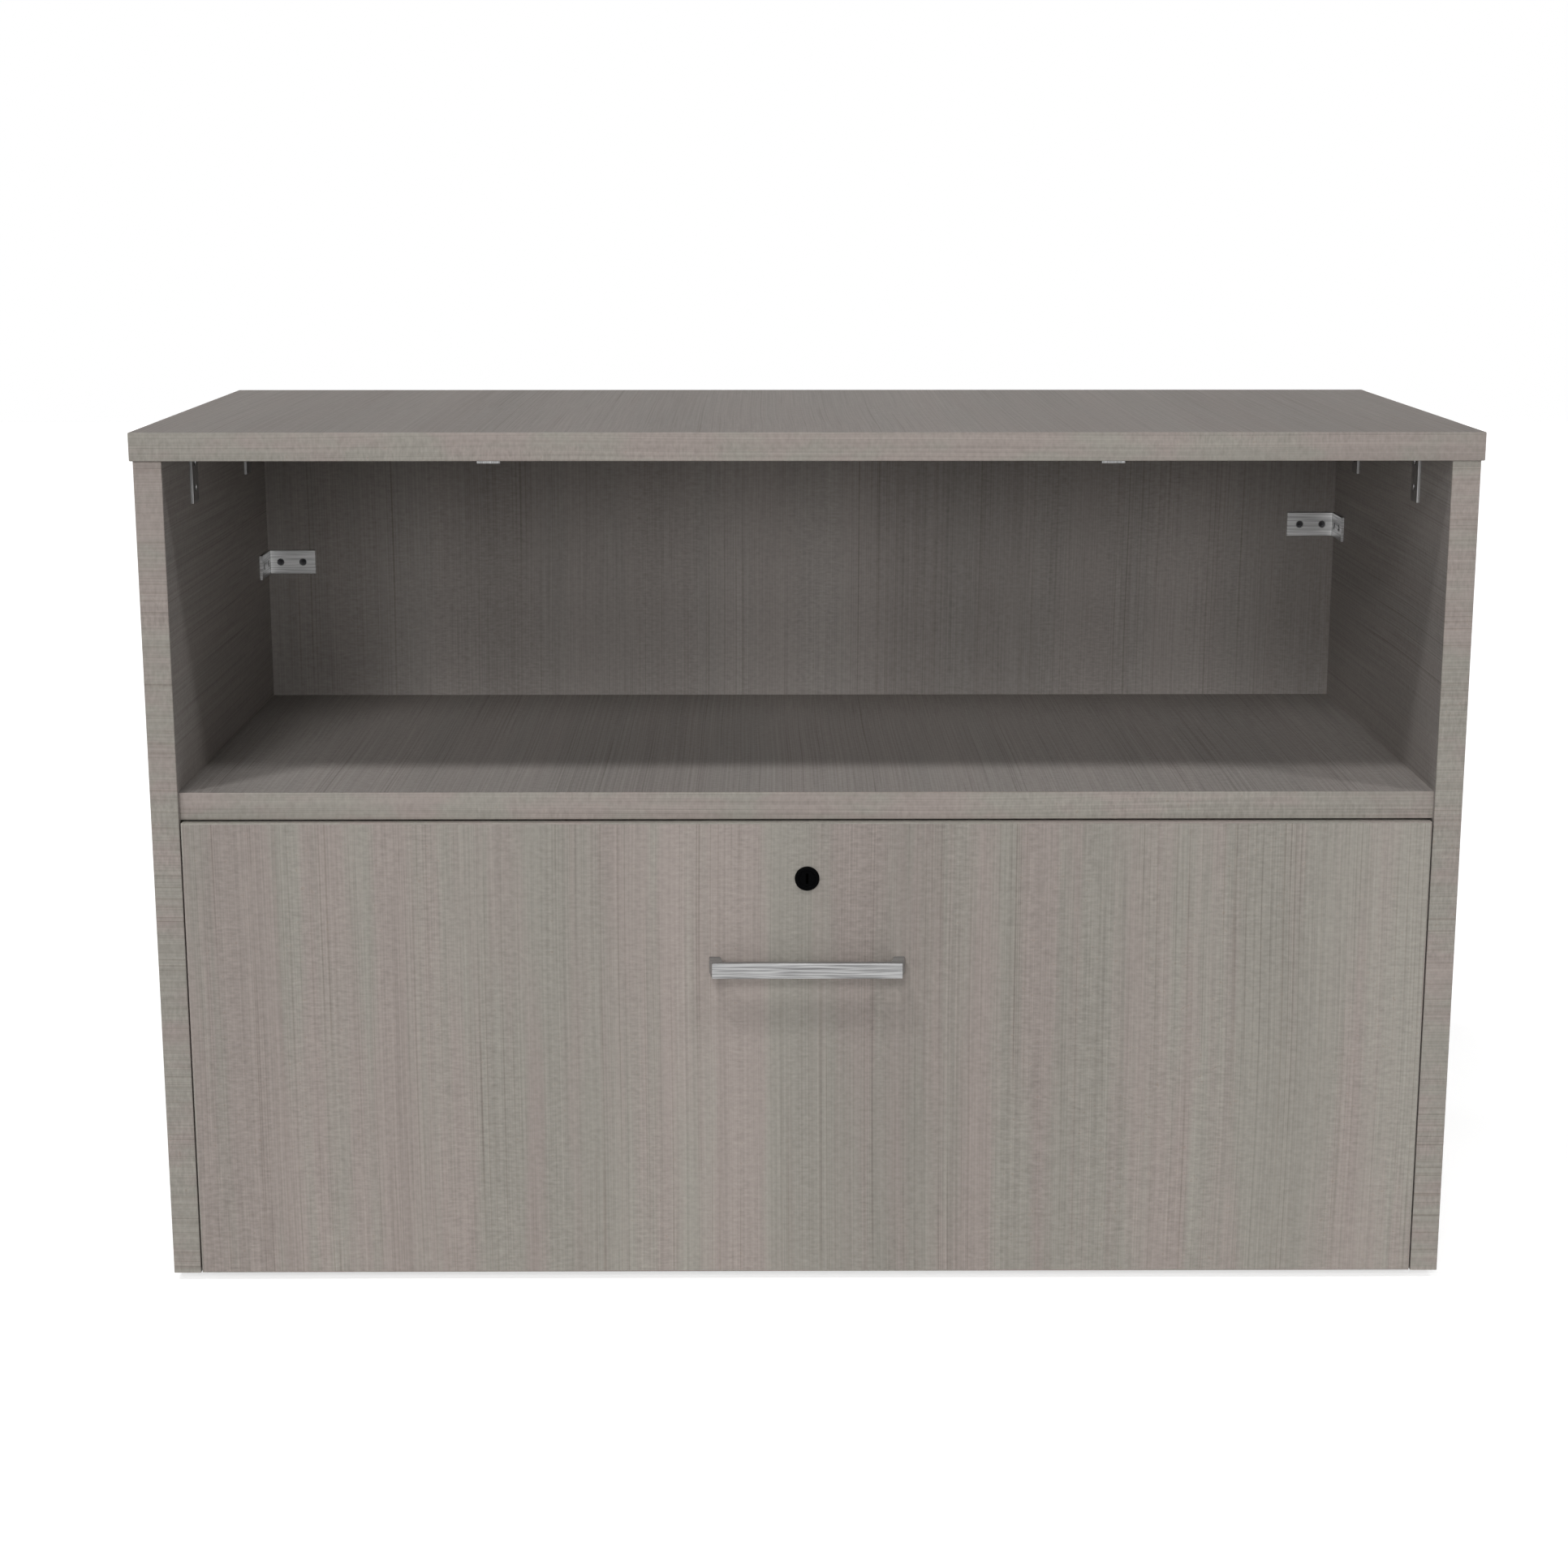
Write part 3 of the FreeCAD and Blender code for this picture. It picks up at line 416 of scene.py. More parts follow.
def edge_foil(tree, place, face, inks):
    """The foil on an edge: the print's two tones and its line colour in streaks across the thickness."""
    bands = streaks(tree, place, face, FOIL_BANDS)
    fine = streaks(tree, place, face, FOIL_STREAKS)
    tone = mix(tree, ramp(tree, bands, *BAND_STEP), inks.green, inks.pink)
    return mix(tree, ramp(tree, fine, *STREAK_STEP, 0.0, STREAK_INK), tone, inks.line)


def board_edge(tree, face):
    """1 on the sides of a board whose faces look along an axis, and 0 on the faces."""
    normal = tree.nodes.new("ShaderNodeTexCoord").outputs["Normal"]
    facing = reckon(tree, "ABSOLUTE", on_axis(tree, normal, face), 0.0)
    return ramp(tree, facing, *EDGE_STEP, 1.0, 0.0)


print("foil streaks are about", round(1000 / FOIL_STREAKS[0], 1), "mm wide")

# %% [markdown]
# Last comes a lightness near 1 that carries the fibres, the ripple, the grit and a slow cloudiness. It could
# be mixed in as more inks, but one factor keeps the hue and is easy to weigh. A look says how the same print
# shows on a piece: gloss is the melamine's shine, figure the strength of the fine marks, cloudiness that of
# the slow light and dark stretches, and patch how often a band changes its tone on a metre of grain.

# %% Make the laminate
Look = namedtuple("Look", "gloss figure cloudiness patch")
GRAIN_DRIFT = 0.010
FIBRE_RATE, FIBRE_SWING = (1000.0, 2.0), 0.50
RIPPLE_RATE, RIPPLE_SWING = (150.0, 640.0), 0.48
GRIT_RATE, GRIT_SWING = (300.0, 330.0), 0.28
CLOUD_RATE, CLOUD_LENGTH, CLOUD_SHIFT = 8.0, 5.0, 11.0
FLECK_STEP, FLECK_INK = (0.68, 0.78), 0.3
FIBRE_RANGE, LAMINATE_ROUGHNESS = (0.25, 0.75), (0.66, 0.52)
LAMINATE_RELIEF = 0.00003


def swing(tree, pattern, strength):
    """A pattern of 0 to 1 made a swing about 0: its distance from a half, times a strength."""
    return reckon(tree, "MULTIPLY", reckon(tree, "SUBTRACT", pattern, 0.5), strength)


def printed_colour(tree, grain, axes, across, shift, grit, ladder, inks, look):
    """The bands, with line ink mixed in by its share and fleck ink where the grit peaks on a patch."""
    lines = reckon(tree, "MULTIPLY", line_share(tree, grain, axes, across, shift), look.figure)
    flecks = reckon(tree, "MULTIPLY", ramp(tree, grit, *FLECK_STEP, 0.0, FLECK_INK), ladder)
    banded = tone_bands(tree, grain, axes, shift, inks, look.patch)
    return mix(tree, flecks, mix(tree, lines, banded, inks.line), inks.fleck)


def laminate(name, axes, across, face, shift, inks, look):
    """Printed grain along one axis or two, its lines counted on the across axis, under satin melamine.

    The printed colour is multiplied by a lightness of 1 plus four swings: fibre, slow cloud, ripple times
    ladder, and grit. A board that has a face axis gets foil on its cut edges.
    """
    material, tree, shader, place = new_finish(name)
    grain = wandering(tree, place, axes, GRAIN_DRIFT, shift)
    fibre = streaks(tree, grain, axes, FIBRE_RATE, roughness=0.6, shift=shift)
    ripple = streaks(tree, grain, axes, RIPPLE_RATE, roughness=0.6, shift=shift)
    grit = streaks(tree, grain, axes, GRIT_RATE, detail=1.0, shift=shift)
    slow_rate = (CLOUD_RATE, look.patch / CLOUD_LENGTH)
    slow = streaks(tree, grain, axes, slow_rate, detail=5.0, roughness=0.4, shift=shift + CLOUD_SHIFT)
    ladder = ladder_patches(tree, grain, axes, shift)

    streaky = swing(tree, fibre, FIBRE_SWING * look.figure)
    cloudy = swing(tree, slow, look.cloudiness)
    rippled = reckon(tree, "MULTIPLY", swing(tree, ripple, RIPPLE_SWING * look.figure), ladder)
    gritty = swing(tree, grit, GRIT_SWING * look.figure)
    light = reckon(tree, "ADD", reckon(tree, "ADD", streaky, cloudy), reckon(tree, "ADD", rippled, gritty))
    light = reckon(tree, "ADD", light, 1.0)
    colour = shade(tree, printed_colour(tree, grain, axes, across, shift, grit, ladder, inks, look), light)
    if face:
        colour = mix(tree, board_edge(tree, face), colour, edge_foil(tree, place, face, inks))
    wire(tree, shader.inputs["Base Color"], colour)
    wire(tree, shader.inputs["Roughness"], ramp(tree, fibre, *FIBRE_RANGE, *LAMINATE_ROUGHNESS))
    shader.inputs["Specular IOR Level"].default_value = look.gloss
    emboss(tree, shader, reckon(tree, "ADD", fibre, ripple), LAMINATE_RELIEF)
    return material


print("a fibre is about", 1000 / FIBRE_RATE[0], "mm wide and", 1000 / FIBRE_RATE[1], "mm long")

# %% [markdown]
# The drawer front and the bottom show the full print with its pink and green bands. The top, the ends, the
# back and the shelf show a calmer grey one, faintest on the top, and the drawer box is paler. On the top this
# grey, faint print is painted sheen: it stands in for the grey shine of a grazing view, while the top's own
# gloss is nearly nil. Each board is named with the axis of its grain, the axis on which its lines are counted
# and the axis that its faces look along. One material for all would run the same streaks through neighbours,
# so each board starts elsewhere in the print.

# %% Face the boards
CABINET_INKS = Inks(paint(150.5, 146.5, 139), paint(153.5, 144.5, 139),
                    paint(112, 101, 94), paint(118, 98, 86))
# On the top these grey inks are partly painted sheen, the grey shine of a grazing view.
CALM_INKS = Inks(paint(151, 146, 142), paint(152, 146, 142), paint(110, 104, 99), paint(114, 105, 98))
DRAWER_BOX_INKS = Inks(paint(186, 181, 171), paint(192, 183, 173), paint(163, 154, 144), paint(166, 150, 138))
BOARD_LOOK = Look(gloss=0.08, figure=1.0, cloudiness=0.58, patch=1.5)
# Painted sheen: the top's faint figure and cloudiness stand in for the shine that washes out its print at a
# grazing view.
TOP_LOOK_PAINTED_SHEEN = Look(gloss=0.0001, figure=0.55, cloudiness=0.32, patch=1.5)
SHIFT_STEP = 1.7
PANELS = {
    "top_panel": ("Y", "X", "Z"),
    "left_end_panel": ("Y", "Z", "X"),
    "right_end_panel": ("Y", "Z", "X"),
    "back_panel": ("Z", "X", "Y"),
    "fixed_shelf": ("Y", "X", "Z"),
    "bottom_panel": ("Y", "X", "Z"),
    "drawer_front": ("Z", "X", "Y"),
}
CALM_PANELS = ("top_panel", "left_end_panel", "right_end_panel", "back_panel", "fixed_shelf")
DRAWER_BOX = {
    "drawer_left_side": ("Y", "Z", "X"),
    "drawer_right_side": ("Y", "Z", "X"),
    "drawer_inner_front": ("X", "Z", "Y"),
    "drawer_back": ("X", "Z", "Y"),
    "drawer_bottom": ("X", "Y", "Z"),
}


def dress(node, material):
    """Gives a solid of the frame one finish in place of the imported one."""
    solid[node].data.materials.clear()
    solid[node].data.materials.append(material)


for count, (panel, ways) in enumerate(PANELS.items()):
    inks = CALM_INKS if panel in CALM_PANELS else CABINET_INKS
    look = TOP_LOOK_PAINTED_SHEEN if panel == "top_panel" else BOARD_LOOK
    dress(panel, laminate(f"{panel}_laminate", *ways, SHIFT_STEP * count, inks, look))
for count, (board, ways) in enumerate(DRAWER_BOX.items()):
    dress(board, laminate(f"{board}_laminate", *ways, -SHIFT_STEP * count, DRAWER_BOX_INKS, BOARD_LOOK))
print("laminate on", len(PANELS) + len(DRAWER_BOX), "boards")

# %% [markdown]
# The pull and the braces are brushed: bright and dark lines run along the brushing, about a millimetre
# apart. A plain metal shader would look like new chrome, so the lines are drawn as noise stretched along
# the brushing. The pull is lacquered, which dulls its mirror, and the braces are bare. A brace is bent, so
# its brushing follows both of its legs.

# %% Brush the metals
LACQUERED, BARE = 0.65, 1.0
BRUSH_DRIFT, BRUSH_SHIFT = 0.003, 5.0
COARSE_LINES, FINE_LINES = (1600.0, 26.0), (2600.0, 40.0)
COARSE_SHARE = 0.8
NOISE_RANGE = (0.3, 0.7)
BRUSH_STEP, BRUSH_ROUGHNESS = (0.36, 0.64), (0.46, 0.34)
BRUSH_RELIEF = 0.00003
PULL_TONES = (paint(109, 109, 109), paint(177, 177, 177))
BRACE_TONES = (paint(152, 152, 152), paint(200, 200, 200))
BRACE_AXES = {"end": "XZ", "back": "YZ", "corner": "XY"}


def weigh(tree, first, share, second):
    """A share of the first pattern plus the rest of the second."""
    rest = reckon(tree, "MULTIPLY", second, 1 - share)
    return reckon(tree, "ADD", reckon(tree, "MULTIPLY", first, share), rest)


def brushed(name, axes, dark, pale, metallic):
    """Brushed metal: coarse and fine streaks along the brushing, weighed together, pick dark or pale."""
    material, tree, shader, place = new_finish(name)
    waver = wandering(tree, place, axes, BRUSH_DRIFT, BRUSH_SHIFT)
    coarse = streaks(tree, waver, axes, COARSE_LINES, roughness=0.6)
    fine = streaks(tree, place, axes, FINE_LINES, detail=1.0)
    lines = weigh(tree, coarse, COARSE_SHARE, fine)
    wire(tree, shader.inputs["Base Color"], mix(tree, ramp(tree, lines, *BRUSH_STEP), dark, pale))
    wire(tree, shader.inputs["Roughness"], ramp(tree, lines, *NOISE_RANGE, *BRUSH_ROUGHNESS))
    shader.inputs["Metallic"].default_value = metallic
    emboss(tree, shader, lines, BRUSH_RELIEF)
    return material


pull_metal = brushed("brushed_pull", "X", *PULL_TONES, LACQUERED)
brace_metals = {kind: brushed(f"brushed_{kind}_braces", axes, *BRACE_TONES, BARE)
                for kind, axes in BRACE_AXES.items()}
print("brushed finishes:", 1 + len(brace_metals))

# %% [markdown]
# The slides and the lock's inner parts are zinc plated, cloudy and a little blue. Screws are darker, and the
# slides' balls are polished. Plating hides the sheet's colour but not its drawing marks, so a bloom of round
# noise is weighed with fine marks, and the bloom also makes the polish uneven.

# %% Plate the steel
BLOOM_RATE = (150.0, 150.0, 150.0)
DRAWING_MARKS = (1500.0, 30.0)
BLOOM_SHARE = 0.7
DULLER, BRIGHTER = 0.08, 0.06
MARK_RELIEF = 0.00001


def plated(name, dark, pale, roughness, metallic=1.0):
    """Plated steel: a cloudy bloom and drawing marks along Y pick dark or pale, and the bloom the polish."""
    material, tree, shader, place = new_finish(name)
    bloom = cloud(tree, place, BLOOM_RATE, detail=3.0)["Fac"]
    marks = streaks(tree, place, "Y", DRAWING_MARKS, detail=1.0)
    tone = weigh(tree, bloom, BLOOM_SHARE, marks)
    wire(tree, shader.inputs["Base Color"], mix(tree, ramp(tree, tone, *NOISE_RANGE), dark, pale))
    polish = ramp(tree, bloom, *NOISE_RANGE, roughness + DULLER, roughness - BRIGHTER)
    wire(tree, shader.inputs["Roughness"], polish)
    shader.inputs["Metallic"].default_value = metallic
    emboss(tree, shader, marks, MARK_RELIEF)
    return material


zinc = plated("zinc_plate", paint(176, 179, 182), paint(206, 209, 212), roughness=0.36, metallic=0.8)
dark_steel = plated("dark_screw_steel", paint(58, 58, 60), paint(88, 88, 90), roughness=0.42)
ball_steel = plated("ball_steel", paint(206, 207, 209), paint(226, 227, 229), roughness=0.14)
slide_parts = [f"{side}_{part}" for side in ("left", "right")
               for part in ("case_rail", "middle_rail", "drawer_rail", "outer_ball_cage", "inner_ball_cage")]
for slide_part in slide_parts:
    dress(slide_part, zinc)
print("zinc on", len(slide_parts), "slide parts")

# %% [markdown]
# The lock's face is black enamel and the glides are moulded nylon. Both are black, and what tells them apart
# is the skin: enamel has a soft gloss with a trace of orange peel, and nylon is dull with a fine grain.
# One black for both would make the lock look like plastic.

# %% Make the two blacks
PEEL_RATE, PEEL_RELIEF = (900.0, 900.0, 900.0), 0.00001
ENAMEL_TONES = ((0.0006, 0.0006, 0.0008, 1), (0.0012, 0.0012, 0.0015, 1))
ENAMEL_GLOSS, ENAMEL_ROUGHNESS = 0.02, (0.42, 0.3)
SKIN_RATE, SKIN_RELIEF = (2200.0, 2200.0, 2200.0), 0.00004
NYLON_TONES = (paint(38, 38, 39), paint(50, 50, 51))
NYLON_ROUGHNESS = (0.66, 0.54)


def black_enamel():
    """The lock's black face: nearly no colour, a soft gloss and a trace of orange peel."""
    material, tree, shader, place = new_finish("black_enamel")
    peel = cloud(tree, place, PEEL_RATE, detail=1.0)["Fac"]
    wire(tree, shader.inputs["Base Color"], mix(tree, peel, *ENAMEL_TONES))
    wire(tree, shader.inputs["Roughness"], ramp(tree, peel, *NOISE_RANGE, *ENAMEL_ROUGHNESS))
    shader.inputs["Specular IOR Level"].default_value = ENAMEL_GLOSS
    emboss(tree, shader, peel, PEEL_RELIEF)
    return material


def black_nylon():
    """Moulded nylon: dull black with a fine grained skin."""
    material, tree, shader, place = new_finish("black_nylon")
    skin = cloud(tree, place, SKIN_RATE)["Fac"]
    wire(tree, shader.inputs["Base Color"], mix(tree, skin, *NYLON_TONES))
    wire(tree, shader.inputs["Roughness"], ramp(tree, skin, *NOISE_RANGE, *NYLON_ROUGHNESS))
    emboss(tree, shader, skin, SKIN_RELIEF)
    return material


lock_black = black_enamel()
nylon = black_nylon()
dress("lock_plug", lock_black)
print("blacks:", lock_black.name, "and", nylon.name)

# %% [markdown]
# Dowels are beech, which is pale brown and shows short dark flecks where its rays are cut. Rings of growth
# could be turned from distance to the tree's middle, but on so thin a rod they are nearly straight streaks.

# %% Make the beech
GROWTH_RATE, RAY_RATE = (420.0, 20.0), (1100.0, 320.0)
BEECH_TONES = (paint(205, 168, 128), paint(186, 146, 106))
RAY_TONE = paint(146, 106, 72)
GROWTH_STEP, RAY_STEP, RAY_INK = (0.35, 0.65), (0.60, 0.70), 0.6
BEECH_ROUGHNESS = (0.7, 0.58)
BEECH_RELIEF = 0.00004


def beech():
    """Beech turned along X: pale brown with short darker flecks."""
    material, tree, shader, place = new_finish("beech")
    growth = streaks(tree, place, "X", GROWTH_RATE)
    rays = streaks(tree, place, "X", RAY_RATE, detail=1.0)
    wood = mix(tree, ramp(tree, growth, *GROWTH_STEP), *BEECH_TONES)
    flecks = ramp(tree, rays, *RAY_STEP, 0.0, RAY_INK)
    wire(tree, shader.inputs["Base Color"], mix(tree, flecks, wood, RAY_TONE))
    wire(tree, shader.inputs["Roughness"], ramp(tree, growth, *NOISE_RANGE, *BEECH_ROUGHNESS))
    emboss(tree, shader, growth, BEECH_RELIEF)
    return material


dowel_wood = beech()
print("finishes so far:", len(bpy.data.materials))

# %% [markdown]
# A new piece is a grid of points: a function of two parameters worked out for the whole grid at once.
# Blender's own primitives could be pushed into shape instead, but a formula says exactly what the shape is.
# The cells between the points become faces.

# %% Number a grid's cells


def cells(rows, columns, around, through):
    """Corner numbers of a grid's cells: around joins the last column to the first, through the last row."""
    row = np.arange(rows if through else rows - 1)[:, None]
    column = np.arange(columns if around else columns - 1)[None, :]
    next_row = (row + 1) % rows
    next_column = (column + 1) % columns
    corners = [row * columns + column, row * columns + next_column,
               next_row * columns + next_column, next_row * columns + column]
    return np.stack(corners, -1).reshape(-1, 4)


def sheet(grid, around=False, through=False):
    """The points of a (rows, columns, 3) grid in mm, and the cells between them."""
    return grid.reshape(-1, 3), cells(*grid.shape[:2], around, through)


def capped(rings):
    """Closed rings with both ends drawn together to a point in their middle, so that no end is open."""
    ends = [np.broadcast_to(rings[end].mean(0), rings[end].shape)[None] for end in (0, -1)]
    return np.concatenate([ends[0], rings, ends[1]])


print("a grid of 3 by 4 points has", len(cells(3, 4, False, False)), "cells")

# %% [markdown]
# Points that meet are merged, and faces are turned outwards, so that light falls on the right side.
# A finished piece rides on a body of the frame and says which solid it stands for, so that the solid itself
# isn't shown.

# %% Build a piece
MERGE = 1e-6
SHARP = math.radians(35)


def finished(name, mesh, finish, body, stands_for):
    """An object for a mesh that is in place: finished, riding on its body, and standing for its solids."""
    mesh.materials.clear()
    mesh.materials.append(finish)
    made = bpy.data.objects.new(name, mesh)
    bpy.context.scene.collection.objects.link(made)
    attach(made, body)
    if stands_for:
        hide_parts(*stands_for)
    return made


def piece(name, sheets, finish, body, slot, *stands_for):
    """One object from sheets of cells, with points that meet merged and faces turned outwards."""
    starts = np.cumsum([0] + [len(points) for points, faces in sheets])
    all_points = np.concatenate([points for points, faces in sheets]) * MM
    all_faces = np.concatenate([faces + start for (points, faces), start in zip(sheets, starts)])
    mesh = bpy.data.meshes.new(name)
    mesh.from_pydata(all_points.tolist(), [], all_faces.tolist())
    shape = bmesh.new()
    shape.from_mesh(mesh)
    bmesh.ops.remove_doubles(shape, verts=shape.verts, dist=MERGE)
    bmesh.ops.dissolve_degenerate(shape, edges=shape.edges, dist=MERGE)
    bmesh.ops.recalc_face_normals(shape, faces=shape.faces)
    shape.to_mesh(mesh)
    shape.free()
    mesh.shade_smooth()
    mesh.set_sharp_from_angle(angle=SHARP)
    print(name, len(mesh.polygons), "faces")
    return finished(name, mesh, finish, body, stands_for)


print("points closer than", MERGE / MM, "mm are merged")

# %% [markdown]
# Most small parts are round, so two helpers come again: an arc, which rounds a corner of a profile, and a
# turn, which carries a profile round an axis as a lathe does. A modifier could turn them too, but threads
# and hexagons still have to move the points afterwards. A turned shape is then stood where it belongs.

# %% Turn profiles


def arc(middle, radius, start, end, steps):
    """Pairs on an arc about a middle: its two coordinates plus R cos a and R sin a, in even steps of a."""
    angle = np.radians(np.linspace(start, end, steps))
    return np.asarray(middle) + radius * np.stack([np.cos(angle), np.sin(angle)], -1)


def full_turn(count):
    """So many even angles of a whole turn."""
    return np.arange(count) * 2 * np.pi / count


def round_grid(radius, angle, height):
    """Points round Z: x = r cos a, y = r sin a, z = h, for whole arrays of r, a and h."""
    return np.stack(np.broadcast_arrays(radius * np.cos(angle), radius * np.sin(angle), height), -1)


def turned(profile, count):
    """Pairs of radius and height carried round Z in so many columns."""
    radius, height = np.hsplit(np.asarray(profile, float), 2)
    return round_grid(radius, full_turn(count), height)


def stood(grid, origin, up, right):
    """A local grid carried to an origin in mm, with its X along right and its Z along up."""
    return np.asarray(origin, float) + grid @ np.array([right, np.cross(up, right), up], float)


print("a turned profile of 2 pairs in 8 columns:", turned([(1, 0), (1, 1)], 8).shape)

# %% [markdown]
# Places are read from the frame, so that a new piece follows its solid. Typing them in again would work
# until a size changes.

# %% Read places from the frame
LOW, HIGH = 0, 1


def corners_mm(node):
    """Lowest and highest corner of a solid, in mm."""
    return [np.array(corner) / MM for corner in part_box(node)]


def face_mm(node, axis, end):
    """Where a solid's lowest or highest face lies on an axis, in mm."""
    return float(corners_mm(node)[end]["XYZ".index(axis)])


def middle_mm(node, axis):
    """The middle of a solid on an axis, in mm."""
    return (face_mm(node, axis, LOW) + face_mm(node, axis, HIGH)) / 2


half_clear = face_mm("right_end_panel", "X", LOW)
back_face = face_mm("back_panel", "Y", LOW)
rear_face = face_mm("back_panel", "Y", HIGH)
top_under = face_mm("top_panel", "Z", LOW)
shelf_under = face_mm("fixed_shelf", "Z", LOW)
shelf_middle = middle_mm("fixed_shelf", "Z")
bottom_middle = middle_mm("bottom_panel", "Z")
front_face = face_mm("drawer_front", "Y", LOW)
box_face = face_mm("drawer_inner_front", "Y", HIGH)
print("clear width inside, in mm:", round(2 * half_clear, 2))

# %% [markdown]
# The board's edges are covered by a strip of printed plastic one millimetre thick. On the real cabinet a
# trimmer rounds the strip's outer corners, and that is where an edge catches the light. A bevel on the
# whole board would round the wrong edges, so the strip's cross-section is drawn with its two rounded
# corners and carried along each edge, or all the way round the board.

# %% Draw the edge bands
BAND_THICKNESS = 1.0
TRIM_RADIUS = 0.7
TRIM_STEPS = 5


def band_section(thickness, height):
    """Outward reach and height round the strip: two square inner corners and two rounded outer ones."""
    low = arc((thickness - TRIM_RADIUS, TRIM_RADIUS), TRIM_RADIUS, -90, 0, TRIM_STEPS)
    high = low[::-1] * (1, -1) + (0, height)
    return np.concatenate([[(0.0, 0.0)], low, high, [(0.0, height)]])


def straight_band(low, high):
    """The strip on a front edge: the section carried along the longer side, with closed ends."""
    size = high - low
    lengthwise = 0 if size[0] > size[2] else 2
    upright = 2 - lengthwise
    section = band_section(size[1], size[upright])
    rings = np.empty((2, len(section), 3))
    rings[..., lengthwise] = np.array([low[lengthwise], high[lengthwise]])[:, None]
    rings[..., 1] = high[1] - section[:, 0]
    rings[..., upright] = low[upright] + section[:, 1]
    return sheet(capped(rings), around=True)


def ring_band(low, high, axis):
    """The strip round a board that faces along an axis, turning each corner on the trimmer's radius."""
    first, second = [side for side in range(3) if side != axis]
    section = band_section(BAND_THICKNESS, (high - low)[axis])
    inset = BAND_THICKNESS - TRIM_RADIUS
    flare = arc((inset, inset), TRIM_RADIUS, 0, 90, TRIM_STEPS)
    signs = np.array([(1, 1), (-1, 1), (-1, -1), (1, -1)])
    sweeps = [flare, flare[::-1], flare, flare[::-1]]
    core = (high - low)[[first, second]] / 2 - BAND_THICKNESS
    middle = (high + low)[[first, second]] / 2
    inner = np.concatenate([np.broadcast_to(middle + core * sign, flare.shape) for sign in signs])
    reach = np.concatenate([sweep * sign for sweep, sign in zip(sweeps, signs)])
    grid = np.empty((len(section), len(inner), 3))
    grid[..., [first, second]] = inner + section[:, :1, None] / BAND_THICKNESS * reach
    grid[..., axis] = low[axis] + section[:, 1:]
    return sheet(grid, around=True, through=True)


print("a band is", BAND_THICKNESS, "mm thick, with corners of", TRIM_RADIUS, "mm")

# %% [markdown]
# A band carries the same print as the drawer front, cut from a narrow roll: its grain runs along the shelf
# and round the top and the drawer front, and across the ends' upright edges. One print for a band and its
# board would not do, because a band's light and dark stretches are weaker and its tones change more often.

# %% Run the edge bands
BAND_LOOK = Look(gloss=0.08, figure=1.05, cloudiness=0.2, patch=14.0)
STRAIGHT_SHIFT, RING_SHIFT = 20.0, 40.0
STRAIGHT_BANDS = ("left_end_edge_band", "right_end_edge_band", "shelf_edge_band")
RING_BANDS = {"top_edge_band": ("XY", "Z", "case"), "drawer_front_edge_band": ("XZ", "Y", "drawer")}

for count, band in enumerate(STRAIGHT_BANDS):
    shift = STRAIGHT_SHIFT + SHIFT_STEP * count
    band_print = laminate(f"{band}_print", "X", "Z", None, shift, CABINET_INKS, BAND_LOOK)
    piece(f"{band}_strip", [straight_band(*corners_mm(band))], band_print, "case", "edge_band", band)
for band, (axes, across, body) in RING_BANDS.items():
    band_print = laminate(f"{band}_print", axes, across, None, RING_SHIFT, CABINET_INKS, BAND_LOOK)
    strip = ring_band(*corners_mm(band), "XYZ".index(across))
    piece(f"{band}_strip", [strip], band_print, body, "edge_band", band)

# %% [markdown]
# Sawn, folded and cast parts never have a knife edge. For the pull, the drawer's boards and the bent steel
# parts the solid already has the right shape, so a copy of it gets a small bevel. Its loose triangles are
# merged and flat neighbours joined first, or the bevel would find no edges to break.

# %% Break the edges
BEVEL_ANGLE = math.radians(40)
BEVEL_SEGMENTS = 2
FLAT_ANGLE = math.radians(0.5)
PULL_EDGE, STRIKE_EDGE, PLATE_EDGE, BOARD_EDGE = 0.35, 0.25, 0.3, 0.4


def eased(name, node, width, finish, body):
    """A merged copy of a solid whose square edges are broken by a bevel of that width in mm."""
    mesh = solid[node].data.copy()
    mesh.name = name
    if "custom_normal" in mesh.attributes:
        mesh.attributes.remove(mesh.attributes["custom_normal"])
    shape = bmesh.new()
    shape.from_mesh(mesh)
    bmesh.ops.remove_doubles(shape, verts=shape.verts, dist=MERGE)
    bmesh.ops.dissolve_limit(shape, angle_limit=FLAT_ANGLE, verts=shape.verts, edges=shape.edges)
    shape.to_mesh(mesh)
    shape.free()
    mesh.shade_smooth()
    made = finished(name, mesh, finish, body, [node])
    bevel = made.modifiers.new("broken_edges", "BEVEL")
    bevel.width = width * MM
    bevel.segments = BEVEL_SEGMENTS
    bevel.limit_method = "ANGLE"
    bevel.angle_limit = BEVEL_ANGLE
    bevel.harden_normals = True
    print(name, "with", width, "mm edges")
    return made


eased("bar_pull", "pull", PULL_EDGE, pull_metal, "drawer")
eased("strike_angle", "lock_strike", STRIKE_EDGE, zinc, "case")
eased("hexagon_lock_nut", "lock_nut", PLATE_EDGE, zinc, "drawer")
eased("cam_arm", "lock_cam", PLATE_EDGE, zinc, "lock_core")
for end in ("front", "rear"):
    eased(f"{end}_hanging_rail", f"{end}_file_rail", PLATE_EDGE, zinc, "drawer")
for board in DRAWER_BOX:
    eased(f"{board}_board", board, BOARD_EDGE, solid[board].data.materials[0], "drawer")

# %% [markdown]
# Each brace is a steel strip bent square, with two countersunk holes in each leg. Cutting holes out of a
# bent block takes a boolean, which leaves long thin faces. Here the flat strip is laid out first, as a press
# would see it: s along it, w across it and t through it. Round each hole a square of cells is swapped for
# rings that run from the square to the cone of the countersink. Then the whole strip is bent.

